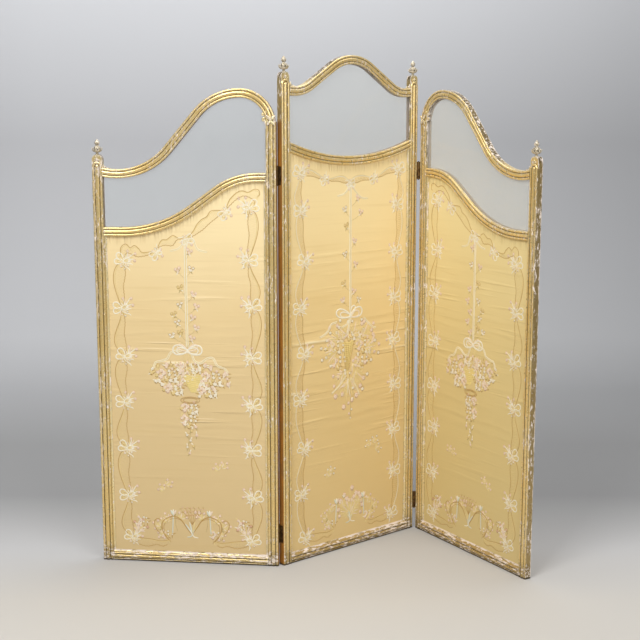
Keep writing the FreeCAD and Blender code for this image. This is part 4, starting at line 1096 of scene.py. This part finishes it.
# Hinges: plain brass butts let into the joint edges, brown and black with age, with paler rubs in places.
def patinated():
    """Old brass gone brown, with black spots."""
    material, place = begin("patinated_brass")
    cloud = place.noise(90.0, 4.0, 0.6)
    spots = place.noise(420.0, 3.0, 0.7)
    tone = cloud.step(0.35, 0.65).blend(paint(74, 50, 28), paint(132, 104, 62))
    tone = spots.step(0.58, 0.72).blend(tone, paint(40, 26, 16))
    surface(place, Base_Color=tone, Metallic=0.75, Roughness=0.36 + 0.3 * cloud, Normal=spots.relief(0.0003))
    return material


hinge_finish = patinated()
for name, node in frame["nodes"].items():
    if "_joint_" in name or name.endswith("screws"):
        node.data.materials.clear()
        node.data.materials.append(hinge_finish)


# Stage: a pale studio floor that sweeps up into a grey wall, broad soft lights, and the camera.
# The sweep's colour carries painted light: a darker band at the bend, a brighter top and painted shade towards the
# right.
# Painted light: tones along the sweep from floor to wall, standing in for how the light falls off.
paper = (
    (0.06, (206, 202, 195)), (0.12, (196, 195, 194)), (0.20, (160, 160, 160)), (0.30, (166, 166, 166)),
    (0.56, (208, 209, 211)), (0.80, (204, 205, 208)), (1.0, (243, 245, 249)),
)


def swept_stage():
    depths = [(-9.0, 0.0), (-1.0, 0.0), (2.6, 0.0)]
    depths += [(2.6 + 1.4 * math.sin(a), 1.4 - 1.4 * math.cos(a)) for a in np.linspace(0.1, math.pi / 2, 12)]
    depths += [(4.0, 9.0)]
    turn = math.radians(-40.0)
    points = []
    for across in (-14.0, 14.0):
        for out, up in depths:
            points.append((across * math.cos(turn) - out * math.sin(turn), across * math.sin(turn) + out * math.cos(turn), up - 0.0005))
    count = len(depths)
    faces = [(n, n + 1, n + count + 1, n + count) for n in range(count - 1)]
    mesh = bpy.data.meshes.new("studio_sweep")
    mesh.from_pydata(points, [], [face[::-1] for face in faces])
    mesh.polygons.foreach_set("use_smooth", [True] * len(mesh.polygons))
    material, place = begin("studio_paper")
    turned = place.node("ShaderNodeVectorRotate", {"rotation_type": "Z_AXIS"}, {"Vector": place, "Angle": -turn})
    parts = turned.node("ShaderNodeSeparateXYZ", {}, {0: turned})
    along = (parts.other(1) + parts.other(2)).step_flat(-1.0, 7.0)
    tone = along.node("ShaderNodeValToRGB", {"stops": [(spot, paint(*colour)) for spot, colour in paper]}, {0: along})
    # Painted shade: darker towards the right of the sweep.
    painted_side_shade = parts.step_flat(-2.0, 2.0) * (0.1 + 0.24 * along.step(0.15, 0.45))
    tone = painted_side_shade.blend(tone, paint(0, 0, 0))
    surface(place, Base_Color=tone, Roughness=0.9, Specular_IOR_Level=0.1)
    mesh.materials.append(material)
    sweep = bpy.data.objects.new("studio_sweep", mesh)
    bpy.context.scene.collection.objects.link(sweep)


swept_stage()
scene = bpy.context.scene
world = bpy.data.worlds.new("studio_air")
scene.world = world
world.use_nodes = True
world.node_tree.nodes["Background"].inputs[0].default_value = (0.90, 0.90, 0.91, 1.0)
world.node_tree.nodes["Background"].inputs[1].default_value = 0.34


def softbox(name, place, aim, size, power):
    lamp = bpy.data.lights.new(name, "AREA")
    lamp.size, lamp.energy = size, power
    made = bpy.data.objects.new(name, lamp)
    scene.collection.objects.link(made)
    from_aim = Vector(place) - Vector(aim)
    made.location = place
    made.rotation_mode = "QUATERNION"
    made.rotation_quaternion = from_aim.to_track_quat("Z", "Y")


softbox("key_softbox", (-3.6, -1.3, 4.4), (0.0, 0.0, 1.1), 2.0, 150)
softbox("fill_softbox", (-0.9, -4.3, 3.0), (0.0, 0.0, 1.0), 2.6, 92)
softbox("wall_softbox", (1.0, 0.2, 4.6), (2.2, 2.8, 1.2), 3.0, 100)

lens = bpy.data.cameras.new("photo_camera")
lens.sensor_width, lens.lens = 36.0, 36.0 * 1209.17 / 640
camera = bpy.data.objects.new("photo_camera", lens)
scene.collection.objects.link(camera)
camera.location = (-2.8619, -3.2363, 1.58565)
camera.rotation_euler = (math.radians(90 - 9.636), 0.0, math.radians(-40.042))
scene.camera = camera
scene.view_settings.view_transform = "Standard"
